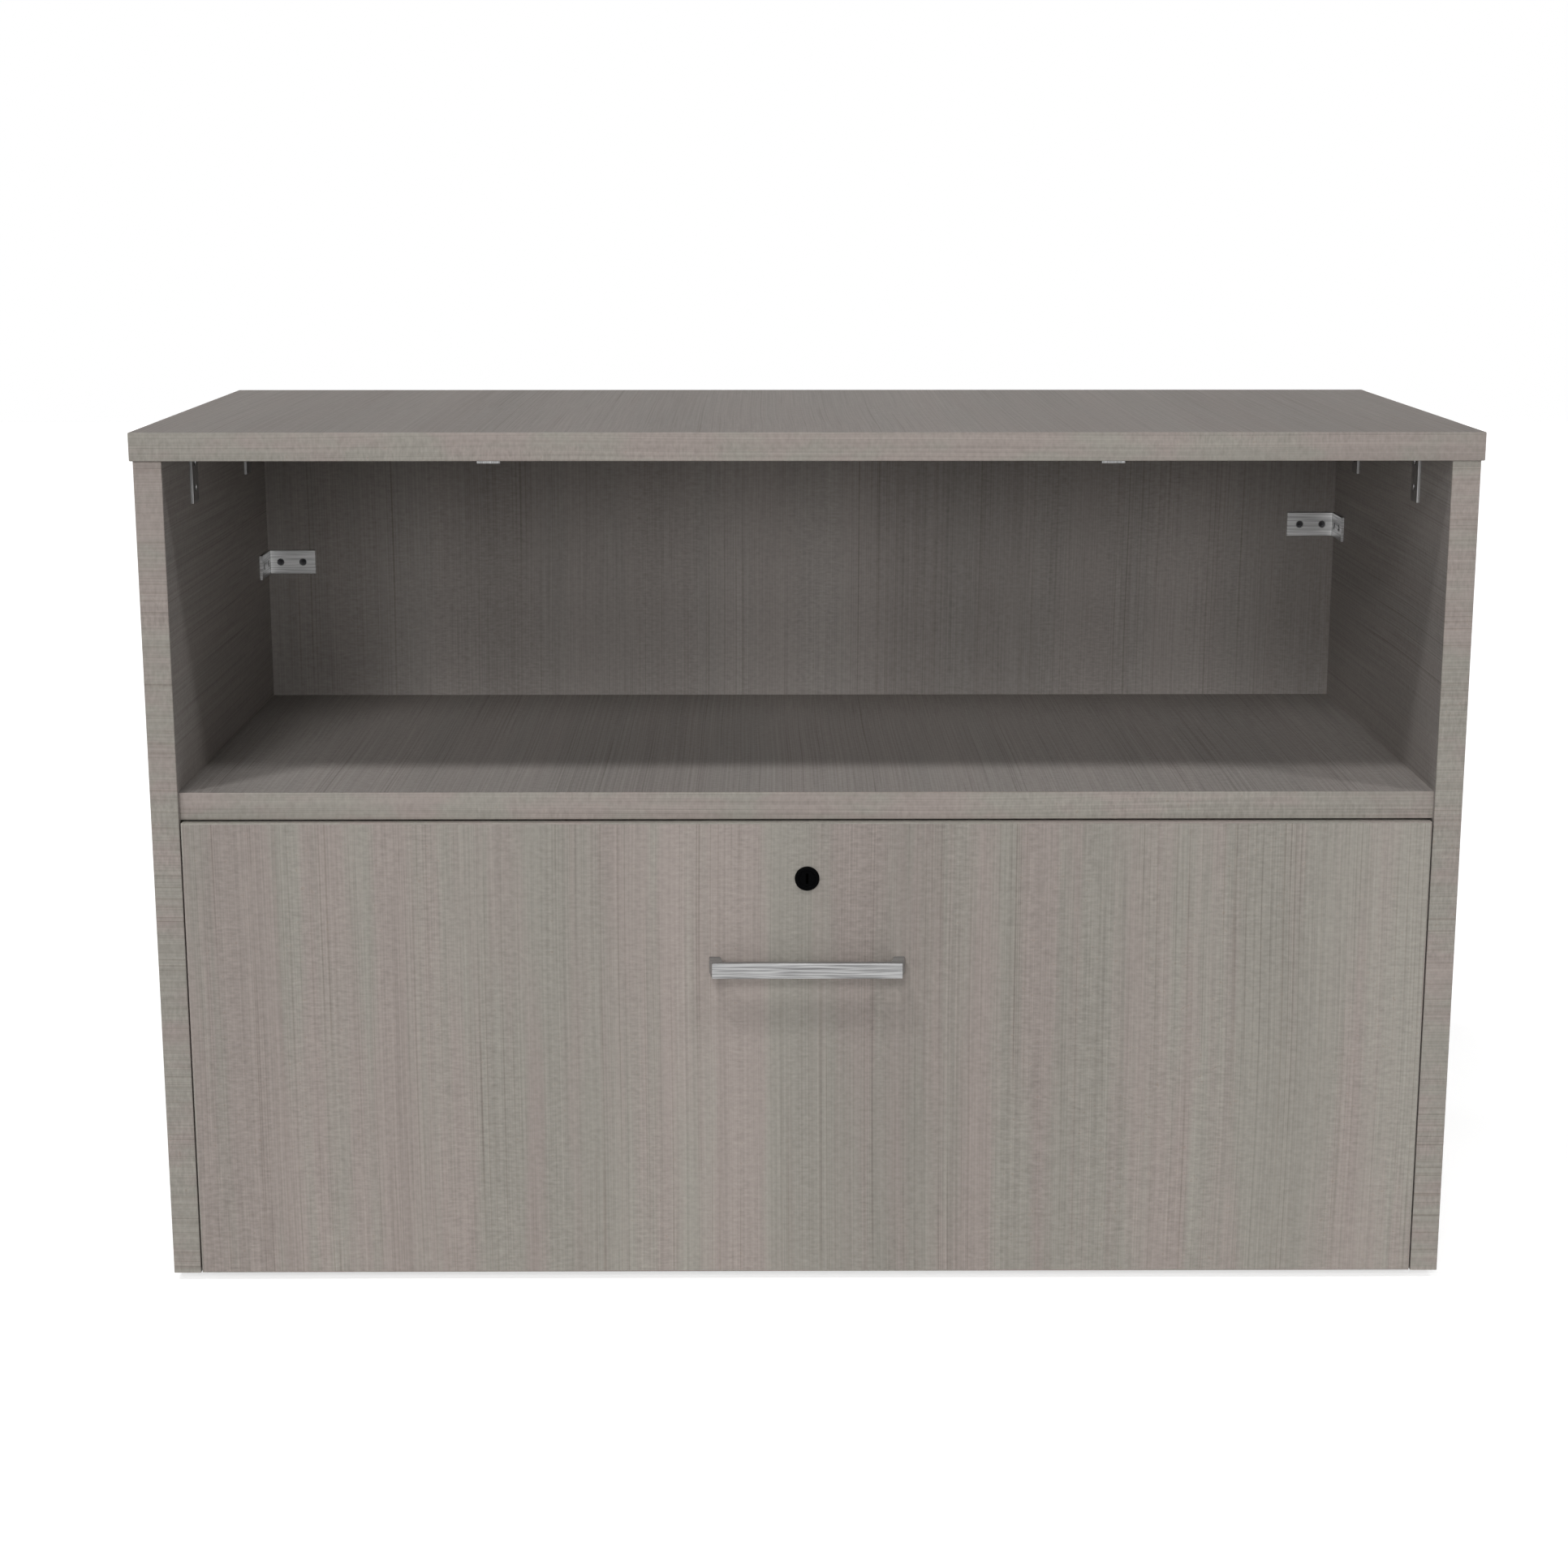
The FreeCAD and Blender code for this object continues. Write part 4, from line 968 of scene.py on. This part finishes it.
# %% Bend a strip and sink its holes
BRACE_LEG, BRACE_WIDTH, BRACE_SHEET = 38.1, 19.05, 2.0
BEND_OUTSIDE = 2.5
BEND_ARC = BEND_OUTSIDE * math.pi / 2
FLAT_LEG = BRACE_LEG - BEND_OUTSIDE
HOLE_SQUARE = 5.0
SIDE_CELLS = 8
MOUTH_RADIUS, WAIST_RADIUS = 2.9, 1.4
FIRST_CORNER = -0.75 * math.pi


def bend(s, w, t):
    """The strip bent round the corner: a straight leg, a quarter circle of radius R - t, a straight leg."""
    turn = np.clip((s - FLAT_LEG) / BEND_ARC, 0, 1) * np.pi / 2
    radius = BEND_OUTSIDE - t
    before = np.clip(FLAT_LEG - s, 0, None)
    after = np.clip(s - FLAT_LEG - BEND_ARC, 0, None)
    x = BEND_OUTSIDE - radius * np.sin(turn) + before
    y = BEND_OUTSIDE - radius * np.cos(turn) + after
    return np.stack(np.broadcast_arrays(x, y, w), -1)


def hole_rings(middle, half_width):
    """Rings round one hole: a square on the inner face, the cone's mouth and waist, a square on the outer."""
    step = np.arange(4 * SIDE_CELLS)
    side = step // SIDE_CELLS
    part = step % SIDE_CELLS * 2 / SIDE_CELLS - 1
    one = np.ones_like(part)
    s_square = middle + HOLE_SQUARE * np.choose(side, [part, one, -part, -one])
    w_square = half_width * np.choose(side, [-one, part, one, -part])
    angle = FIRST_CORNER + step * 2 * np.pi / len(step)
    s = [s_square] + [middle + radius * np.cos(angle) for radius in (MOUTH_RADIUS, WAIST_RADIUS)] + [s_square]
    w = [w_square] + [radius * np.sin(angle) for radius in (MOUTH_RADIUS, WAIST_RADIUS)] + [w_square]
    t = np.array([BRACE_SHEET, BRACE_SHEET, 0.0, 0.0])[:, None]
    return sheet(bend(np.array(s), np.array(w), t), around=True)


print("the flat strip is", round(2 * FLAT_LEG + BEND_ARC, 2), "mm long")

# %% [markdown]
# A brace is closed by sheets of cells: its two faces, the rings of its holes, its long edges and its ends.
# An even grid would need very small cells to meet the holes, so rows are put only where the shape needs
# them: at the ends, through the bend and beside the holes.

# %% Make a brace
HOLE_FROM_CORNER = (10.2, 28.1)
BURR = 0.3
BEND_ROWS = 7


def brace_sheets():
    """A brace in its own corner: the first leg along X, the second along Y, the width along Z."""
    first_leg = [BRACE_LEG - spot for spot in HOLE_FROM_CORNER]
    second_leg = [FLAT_LEG + BEND_ARC + spot - BEND_OUTSIDE for spot in HOLE_FROM_CORNER]
    middles = sorted(first_leg + second_leg)
    squares = np.linspace(-HOLE_SQUARE, HOLE_SQUARE, SIDE_CELLS + 1)
    bend_rows = np.linspace(FLAT_LEG, FLAT_LEG + BEND_ARC, BEND_ROWS)
    ends = [0.0, 2 * FLAT_LEG + BEND_ARC]
    s = np.sort(np.concatenate([ends, bend_rows] + [middle + squares for middle in middles]))
    half = BRACE_WIDTH / 2 - BURR
    w = np.linspace(-half, half, SIDE_CELLS + 1)

    # The two faces, without the rows of cells that the holes' rings take up.
    row_middle = (s[:-1] + s[1:]) / 2
    plain = np.all(np.abs(row_middle[:, None] - middles) > HOLE_SQUARE, axis=1)
    sheets = [hole_rings(middle, half) for middle in middles]
    for t in (0.0, BRACE_SHEET):
        points, faces = sheet(bend(s[:, None], w[None, :], t))
        sheets.append((points, faces.reshape(len(s) - 1, SIDE_CELLS, 4)[plain].reshape(-1, 4)))

    # The long edges with their burr taken off, and the ends.
    for way in (-1, 1):
        edge_w = way * np.array([half, half + BURR, half + BURR, half])
        edge_t = np.array([BRACE_SHEET, BRACE_SHEET - BURR, BURR, 0.0])
        sheets.append(sheet(bend(s[:, None], edge_w[None, :], edge_t[None, :])))
        for end in ends:
            corner = bend(np.full((2, 2), end), edge_w[[[0, 1], [3, 2]]], edge_t[[[0, 1], [3, 2]]])
            sheets.append(sheet(corner))
    for end in ends:
        sheets.append(sheet(bend(np.full((2, 1), end), w[None, :], np.array([[0.0], [BRACE_SHEET]]))))
    return sheets


print("a brace has", len(brace_sheets()), "sheets of cells")

# %% [markdown]
# Eight braces hold the top and the back: two on each end, two on the back under the top, and one in each
# back corner. A brace is placed by its corner and the directions of its legs. Angles would do as well, but
# directions are harder to mix up.

# %% Press the braces


def brace_rows(node, axis):
    """The middles of the first and the last brace of a solid on an axis."""
    return face_mm(node, axis, LOW) + BRACE_WIDTH / 2, face_mm(node, axis, HIGH) - BRACE_WIDTH / 2


def in_corner(points, corner, along, across):
    """Points of a brace carried to its corner, with its legs along the two directions."""
    return np.asarray(corner) + points @ np.array([along, across, np.cross(along, across)], float)


left_height, right_height = brace_rows("back_corner_braces", "Z")
BRACE_PLACES = {
    "end": [((way * half_clear, y, top_under), (-way, 0, 0), (0, 0, -1))
            for way in (-1, 1) for y in brace_rows("end_top_braces", "Y")],
    "back": [((x, back_face, top_under), (0, -1, 0), (0, 0, -1)) for x in brace_rows("back_top_braces", "X")],
    "corner": [((-half_clear, back_face, left_height), (1, 0, 0), (0, -1, 0)),
               ((half_clear, back_face, right_height), (-1, 0, 0), (0, -1, 0))],
}
BRACE_NODES = {"end": "end_top_braces", "back": "back_top_braces", "corner": "back_corner_braces"}
for kind, node in BRACE_NODES.items():
    sheets = [(in_corner(points, *place), faces) for place in BRACE_PLACES[kind]
              for points, faces in brace_sheets()]
    piece(f"{node}_pressed", sheets, brace_metals[kind], "case", "brushed_hardware", node)

# %% [markdown]
# A screw is turned from a rod: its thread is a groove that climbs one pitch in each turn, and its head gets
# a cross for the driver. The radius at height z and angle a is the core's radius plus a triangle wave of
# z / pitch - a / turn. The cross is pressed in by lowering the head's face where the point lies within
# either bar of the cross. A thread swept along a helix would leave open ends, and this way the whole screw
# is one skin. The same functions make every screw, from the braces' to the lock's.

# %% Cut threads and crosses
SCREW_COLUMNS = 24
ROWS_A_PITCH = 4
CROSS_SIDE = 0.15
CROSS_ARM = 0.25
CROSS_SLOPE = 0.4


def ridge(height, angle, pitch):
    """1 on the crest of a thread and 0 in its groove: a triangle wave that climbs a pitch in a turn."""
    turns = height / pitch - angle / (2 * np.pi)
    return 1 - np.abs(2 * (turns - np.floor(turns)) - 1)


def cross(x, y, reach, arm):
    """1 within either bar of a driver's cross, 0 outside it, with short sloping sides."""
    across_x = np.clip((arm - np.abs(x)) / CROSS_SIDE, 0, 1) * np.clip((reach - np.abs(y)) / CROSS_SIDE, 0, 1)
    across_y = np.clip((arm - np.abs(y)) / CROSS_SIDE, 0, 1) * np.clip((reach - np.abs(x)) / CROSS_SIDE, 0, 1)
    return np.maximum(across_x, across_y)


def screw(core, crest, pitch, length, point, head, cross_reach, cross_depth):
    """A screw along Z, head up: a shank whose radius is core plus thread, narrowed to its point, and a head.

    The head is pairs of radius and height from its neck to the middle of its face. The face sinks by the
    cross's depth within the cross, less towards the cross's ends.
    """
    angle = full_turn(SCREW_COLUMNS)
    neck_height = head[0, 1]
    shank_rows = int((length + neck_height) / pitch * ROWS_A_PITCH)
    shank = np.linspace(-length, neck_height - pitch, shank_rows)[:, None]
    narrowing = np.clip((shank + length) / point, 0, 1)
    shank_radius = narrowing * (core + (crest - core) * ridge(shank, angle, pitch))
    head_radius, head_height = np.hsplit(head, 2)
    head_shape = (len(head), SCREW_COLUMNS)
    radius = np.concatenate([shank_radius, np.broadcast_to(head_radius, head_shape)])
    height = np.concatenate([np.broadcast_to(shank, shank_radius.shape),
                             np.broadcast_to(head_height, head_shape)])
    grid = round_grid(radius, angle, height)
    in_cross = cross(grid[..., 0], grid[..., 1], cross_reach, cross_reach * CROSS_ARM)
    sink = cross_depth * in_cross * (1 - CROSS_SLOPE * radius / cross_reach)
    on_face = (height >= head_height[-1] - cross_depth) & (radius < cross_reach)
    grid[..., 2] -= np.where(on_face, sink, 0.0)
    return grid


print("a thread has", ROWS_A_PITCH, "rows a pitch")

# %% [markdown]
# Two kinds of screw hold the cabinet together. Wood screws have a coarse thread, a point and a flat head that
# sits in a countersink. Machine screws, in the pull and the lock, have a fine thread and a domed head.

# %% Turn the two kinds of screw
WOOD_CORE, WOOD_CREST, WOOD_PITCH, WOOD_POINT = 0.9, 1.3, 1.3, 3.0
WOOD_HEAD, WOOD_FACE, WOOD_RIM, WOOD_CONE = 2.5, 2.42, 0.06, 1.2
WOOD_CROSS, WOOD_CROSS_DEPTH = 1.5, 0.7
FACE_ROWS = 9
MACHINE_PITCH, MACHINE_THREAD, MACHINE_POINT = 0.7, 0.35, 0.6
DOME_WALL, DOME_CUT, DOME_ROWS = 0.35, 0.1, 10
DOME_CROSS, DOME_CROSS_DEPTH = 0.55, 0.6
SHORT_SCREW = 12.0


def wood_screw(length):
    """A countersunk wood screw: a cone, a thin rim and a flat face at height 0."""
    cone = [(WOOD_CREST, -WOOD_CONE), (WOOD_FACE, -2 * WOOD_RIM), (WOOD_HEAD, -WOOD_RIM)]
    face = np.linspace(1, 0, FACE_ROWS)[:, None] * (WOOD_FACE, 0.0)
    head = np.concatenate([cone, face])
    return screw(WOOD_CORE, WOOD_CREST, WOOD_PITCH, length, WOOD_POINT, head, WOOD_CROSS, WOOD_CROSS_DEPTH)


def pan_screw(thread, length, head_radius, cap):
    """A machine screw seated at height 0: a low wall, then a dome of r = R cos a, h = wall + rise sin a."""
    wall = cap * DOME_WALL
    seat = [(thread / 2, 0.0), (head_radius - DOME_CUT, 0.0), (head_radius, DOME_CUT)]
    dome = (0.0, wall) + arc((0.0, 0.0), 1.0, 0, 90, DOME_ROWS) * (head_radius, cap - wall)
    head = np.concatenate([seat, dome])
    return screw(thread / 2 - MACHINE_THREAD, thread / 2, MACHINE_PITCH, length, MACHINE_POINT, head,
                 head_radius * DOME_CROSS, cap * DOME_CROSS_DEPTH)


def at_spots(grid, spots, up, right):
    """One sheet for each spot: the same closed shape stood there with its head along up."""
    return [sheet(stood(grid, spot, up, right), around=True) for spot in spots]


print("a short wood screw is a grid of", wood_screw(SHORT_SCREW).shape[:2])

# %% [markdown]
# Every brace is held by four short screws, each square to the leg that it goes through. Their places follow
# from the brace's corner and its holes, so no screw is placed by eye.

# %% Drive the braces' screws
BRACE_HEAD_SINK = 0.5


def brace_seats(corner, along, across):
    """Seat, head's direction and leg's direction of the screws in a brace, hole by hole."""
    along, across = np.array(along, float), np.array(across, float)
    return [(np.asarray(corner) + leg * spot + rise * (BRACE_SHEET - BRACE_HEAD_SINK), rise, leg)
            for spot in HOLE_FROM_CORNER for leg, rise in ((along, across), (across, along))]


brace_screw_sheets = []
for places in BRACE_PLACES.values():
    for place in places:
        for seat, rise, leg in brace_seats(*place):
            brace_screw_sheets += at_spots(wood_screw(SHORT_SCREW), [seat], rise, leg)
piece("brace_screws_turned", brace_screw_sheets, dark_steel, "case", "screw_steel", "brace_screws")

# %% [markdown]
# Long screws hold the back to the shelf and the bottom. Short ones hold the slides' rails and the lock's
# strike. Their heads stand a tenth of a millimetre below the surface that they are driven into.

# %% Drive the case's and the slides' screws
BACK_SCREW = 40.0
HEAD_SINK = 0.1
RAIL_WEB, STRIKE_SHEET, STRIKE_SPREAD = 1.2, 1.5, 12.0
X, Y, Z = np.eye(3)


def head_rows(node, axis, count):
    """The middles of a solid's evenly spaced screws on an axis."""
    return np.linspace(face_mm(node, axis, LOW) + WOOD_HEAD, face_mm(node, axis, HIGH) - WOOD_HEAD, count)


back_spots = [(x, rear_face - HEAD_SINK, z) for x in head_rows("back_screws", "X", 3)
              for z in (shelf_middle, bottom_middle)]
piece("back_screws_turned", at_spots(wood_screw(BACK_SCREW), back_spots, Y, X), dark_steel, "case",
      "screw_steel", "back_screws")

slide_axis = middle_mm("right_case_rail", "Z")
slide_holes = head_rows("drawer_rail_screws", "Y", 3)
strike_row = (face_mm("lock_strike", "Y", LOW) + STRIKE_SHEET + face_mm("lock_strike", "Y", HIGH)) / 2
strike_seat = shelf_under - STRIKE_SHEET + HEAD_SINK
strike_spots = [(way * STRIKE_SPREAD, strike_row, strike_seat) for way in (-1, 1)]
case_reach = half_clear - RAIL_WEB + HEAD_SINK
rail_reach = face_mm("right_drawer_rail", "X", LOW) + RAIL_WEB - HEAD_SINK
case_sheets = at_spots(wood_screw(SHORT_SCREW), strike_spots, -Z, X)
rail_sheets = []
for way in (-1, 1):
    case_spots = [(way * case_reach, y, slide_axis) for y in slide_holes]
    rail_spots = [(way * rail_reach, y, slide_axis) for y in slide_holes]
    case_sheets += at_spots(wood_screw(SHORT_SCREW), case_spots, -way * X, Y)
    rail_sheets += at_spots(wood_screw(SHORT_SCREW), rail_spots, way * X, Y)
piece("case_screws_turned", case_sheets, dark_steel, "case", "screw_steel", "case_screws")
piece("rail_screws_turned", rail_sheets, dark_steel, "drawer", "screw_steel", "drawer_rail_screws")

# %% [markdown]
# The drawer front is screwed to the drawer box from inside, and the pull's machine screws go through both.
# Their places could be typed in from a drawing. A row of heads ends where its solid's box ends, though, so
# its first and last screws lie half a head inside the box, whatever the drawer's size.

# %% Drive the drawer's screws
FRONT_SCREW = 26.0
PULL_THREAD, PULL_HEAD, PULL_CAP = 4.0, 4.0, 2.4

front_spots = [(x, box_face - HEAD_SINK, z) for x in head_rows("drawer_front_screws", "X", 2)
               for z in head_rows("drawer_front_screws", "Z", 2)]
piece("front_screws_turned", at_spots(wood_screw(FRONT_SCREW), front_spots, Y, X), dark_steel, "drawer",
      "screw_steel", "drawer_front_screws")

pull_spread = face_mm("pull_screws", "X", HIGH) - PULL_HEAD
pull_spots = [(way * pull_spread, box_face, middle_mm("pull", "Z")) for way in (-1, 1)]
pull_length = face_mm("pull_screws", "Y", HIGH) - face_mm("pull_screws", "Y", LOW) - PULL_CAP
pull_screw = pan_screw(PULL_THREAD, pull_length, PULL_HEAD, PULL_CAP)
piece("pull_screws_turned", at_spots(pull_screw, pull_spots, Y, X), dark_steel, "drawer", "screw_steel",
      "pull_screws")

# %% [markdown]
# The lock's barrel is a turned tube with a rounded rim in front of the drawer and a thread behind it. It is
# a lathe profile carried round in a closed loop, so the bore is part of the same skin. The plug with its
# keyway stays as the solid, and the cam's screw is turned like the others.

# %% Turn the lock
BORE, BARREL, RIM = 5.6, 7.25, 8.5
RIM_ROUND, RIM_STEPS, MOUTH_CUT = 0.7, 6, 0.3
BARREL_ROWS, BARREL_COLUMNS = 120, 64
BARREL_PITCH, BARREL_CUT, PLAIN_NECK = 1.0, 0.06, 0.5
CAM_THREAD, CAM_SCREW, CAM_HEAD, CAM_CAP = 3.5, 8.0, 4.5, 2.0
lock_axis = middle_mm("lock_barrel", "Z")
proud = front_face - face_mm("lock_barrel", "Y", LOW)
barrel_length = face_mm("lock_barrel", "Y", HIGH) - front_face


def barrel_grid():
    """Stem, rim and bore turned round Z, with the stem's radius less by the thread's cut in its grooves."""
    thread_rows = np.linspace(-barrel_length, -PLAIN_NECK, BARREL_ROWS)
    stem = np.stack([np.full(BARREL_ROWS, BARREL), thread_rows], -1)
    rim = arc((RIM - RIM_ROUND, proud - RIM_ROUND), RIM_ROUND, 0, 90, RIM_STEPS)
    mouth = [(BORE + MOUTH_CUT, proud), (BORE, proud - MOUTH_CUT), (BORE, -barrel_length)]
    grid = turned(np.concatenate([stem, [(BARREL, 0.0), (RIM, 0.0)], rim, mouth]), BARREL_COLUMNS)
    groove = 1 - ridge(thread_rows[:, None], full_turn(BARREL_COLUMNS), BARREL_PITCH)
    grid[:BARREL_ROWS, :, :2] *= (1 - BARREL_CUT * groove)[..., None]
    return grid


barrel = stood(barrel_grid(), (0, front_face, lock_axis), -Y, X)
piece("lock_barrel_turned", [sheet(barrel, around=True, through=True)], lock_black, "drawer", "black_lock",
      "lock_barrel")
cam_seat = (0, face_mm("lock_cam_screw", "Y", HIGH) - CAM_CAP, lock_axis)
cam_screw = pan_screw(CAM_THREAD, CAM_SCREW, CAM_HEAD, CAM_CAP)
piece("cam_screw_turned", at_spots(cam_screw, [cam_seat], Y, X), dark_steel, "lock_core", "screw_steel",
      "lock_cam_screw")

# %% [markdown]
# A glide is a moulded nylon foot on a threaded stud, which turns in an insert in the bottom panel. The foot
# is a lathe profile whose radius follows a hexagon in the part that a spanner grips: R cos 30 / cos(a - 30),
# repeated every 60 degrees. The stud's thread is the same climbing ridge as the screws'.

# %% Shape the foot and the stud
GLIDE_COLUMNS = 48
ROUND_STEPS = 9
FOOT_RADIUS, FOOT_ROUND = 14.0, 1.25
HEX_CORNER, HEX_TOP, HEX_CUT = 9.8, 5.5, 0.4
SOCKET = 4.0
STUD_CORE, STUD_THREAD, STUD_PITCH, STUD_END, STUD_ROWS = 3.35, 0.6, 1.25, 0.9, 126
stud_foot = face_mm("front_left_glide_stud", "Z", LOW)
stud_top = face_mm("front_left_glide_stud", "Z", HIGH)


def foot_grid():
    """The foot round Z: a flat sole, a rounded rim, a hexagon and the socket of the stud."""
    angle = full_turn(GLIDE_COLUMNS)
    hexagon = math.cos(math.pi / 6) / np.cos(angle % (math.pi / 3) - math.pi / 6)
    rim = arc((FOOT_RADIUS - FOOT_ROUND, FOOT_ROUND), FOOT_ROUND, -90, 90, ROUND_STEPS)
    grip = [(HEX_CORNER, 2 * FOOT_ROUND), (HEX_CORNER, HEX_TOP - HEX_CUT), (HEX_CORNER - HEX_CUT, HEX_TOP)]
    socket = [(SOCKET, HEX_TOP), (SOCKET, stud_foot), (0.0, stud_foot)]
    grid = turned(np.concatenate([[(0.0, 0.0)], rim, grip, socket]), GLIDE_COLUMNS)
    grip_rows = slice(1 + len(rim), 1 + len(rim) + len(grip))
    grid[grip_rows, :, :2] *= hexagon[:, None]
    return grid


def stud_grid():
    """A rod round Z whose radius is core plus thread, the thread dying away at the top end."""
    angle = full_turn(GLIDE_COLUMNS)
    height = np.linspace(stud_foot, stud_top, STUD_ROWS)[:, None]
    narrowing = np.clip((stud_top - height) / STUD_END, 0, 1)
    radius = STUD_CORE + STUD_THREAD * ridge(height, angle, STUD_PITCH) * narrowing
    return capped(round_grid(radius, angle, height))


print("a glide stands", round(stud_top, 2), "mm high")

# %% [markdown]
# The insert is a flanged sleeve let into the bottom panel. The glides could be copies of one object, but
# each turns by itself, so each foot and stud is a piece on its own body, and the inserts stay with the case.

# %% Mould the glides
FLANGE_RADIUS, FLANGE_ROUND = 10.0, 0.8
SLEEVE_RADIUS, INSERT_BORE, INSERT_CUT = 5.5, 4.1, 0.4
insert_under = face_mm("glide_inserts", "Z", LOW)
insert_top = face_mm("glide_inserts", "Z", HIGH)


def insert_grid():
    """A flanged sleeve round Z: sleeve, rounded flange and bore in one closed loop."""
    flange_middle = (FLANGE_RADIUS - FLANGE_ROUND, insert_top - FLANGE_ROUND)
    flange = arc(flange_middle, FLANGE_ROUND, -90, 90, ROUND_STEPS)
    sleeve = [(INSERT_BORE, insert_under), (SLEEVE_RADIUS, insert_under),
              (SLEEVE_RADIUS, insert_top - 2 * FLANGE_ROUND)]
    bore = [(INSERT_BORE + INSERT_CUT, insert_top), (INSERT_BORE, insert_top - INSERT_CUT)]
    return turned(np.concatenate([sleeve, flange, bore]), GLIDE_COLUMNS)


insert_sheets = []
for body in [f"{end}_{side}_glide" for end in ("front", "rear") for side in ("left", "right")]:
    here = np.array([middle_mm(f"{body}_foot", "X"), middle_mm(f"{body}_foot", "Y"), 0.0])
    piece(f"{body}_foot_moulded", [sheet(foot_grid() + here, around=True)], nylon, body, "glide_nylon",
          f"{body}_foot")
    piece(f"{body}_stud_threaded", [sheet(stud_grid() + here, around=True)], zinc, body, "zinc_steel",
          f"{body}_stud")
    insert_sheets.append(sheet(insert_grid() + here, around=True, through=True))
piece("glide_inserts_turned", insert_sheets, zinc, "case", "zinc_steel", "glide_inserts")

# %% [markdown]
# Dowels are fluted, so that glue can rise along them. A dowel is a rod whose radius dips in 20 flutes round
# it. The flutes could be cut one by one, but the size of a sine, taken without its sign, makes all at once.

# %% Cut the dowels
DOWEL_RADIUS, DOWEL_LENGTH, DOWEL_INSET = 3.95, 29.6, 60.0
DOWEL_FLUTES, FLUTE_DEPTH, DOWEL_COLUMNS = 20, 0.2, 120
DOWEL_CHAMFER, DOWEL_END_CUT = 1.2, 0.8


def dowel_grid():
    """A rod along Z from height 0: radius less a flute's depth times |sin|, and less again at both ends."""
    angle = full_turn(DOWEL_COLUMNS)
    height = np.array([0.0, DOWEL_CHAMFER, DOWEL_LENGTH - DOWEL_CHAMFER, DOWEL_LENGTH])[:, None]
    end_cut = np.array([DOWEL_END_CUT, 0.0, 0.0, DOWEL_END_CUT])[:, None]
    radius = DOWEL_RADIUS - end_cut - FLUTE_DEPTH * np.abs(np.sin(DOWEL_FLUTES / 2 * angle))
    return capped(round_grid(radius, angle, height))


dowel_end = face_mm("panel_dowels", "X", HIGH)
shelf_front = face_mm("shelf_edge_band", "Y", LOW)
bottom_front = face_mm("bottom_panel", "Y", LOW)
dowel_rows = [(y, z) for front, z in ((shelf_front, shelf_middle), (bottom_front, bottom_middle))
              for y in (front + DOWEL_INSET, back_face - DOWEL_INSET)]
dowel_sheets = []
for way in (-1, 1):
    dowel_sheets += at_spots(dowel_grid(), [(way * dowel_end, y, z) for y, z in dowel_rows], -way * X, Y)
piece("fluted_dowels", dowel_sheets, dowel_wood, "case", "dowel_beech", "panel_dowels")

# %% [markdown]
# The slides' balls are not among the solids at all. They sit in two rows in each cage and travel with it.
# Blender's own spheres would do, but hundreds of faces on each are wasted in a slide, so a ball is a small
# lathe shape of few faces, stood at every place of the rows.

# %% Set the balls
BALL_RADIUS, BALL_ROWS, BALL_COLUMNS = 2.2, 8, 12
BALLS_A_ROW, BALL_END_INSET = 12, 7.3
CAGE_SHEET, BALL_INSET = 0.5, 2.0

ball = turned(arc((0.0, 0.0), BALL_RADIUS, -90, 90, BALL_ROWS), BALL_COLUMNS)
for cage in ("outer", "inner"):
    node = f"right_{cage}_ball_cage"
    line = face_mm(node, "X", LOW) + BALL_INSET
    row = face_mm(node, "Z", HIGH) - slide_axis - CAGE_SHEET / 2
    along = np.linspace(face_mm(node, "Y", LOW) + BALL_END_INSET, face_mm(node, "Y", HIGH) - BALL_END_INSET,
                        BALLS_A_ROW)
    spots = [(x, y, slide_axis + rise) for x in (-line, line) for rise in (-row, row) for y in along]
    piece(f"{cage}_slide_balls", at_spots(ball, spots, Z, X), ball_steel, f"{cage}_ball_cages", "zinc_steel")
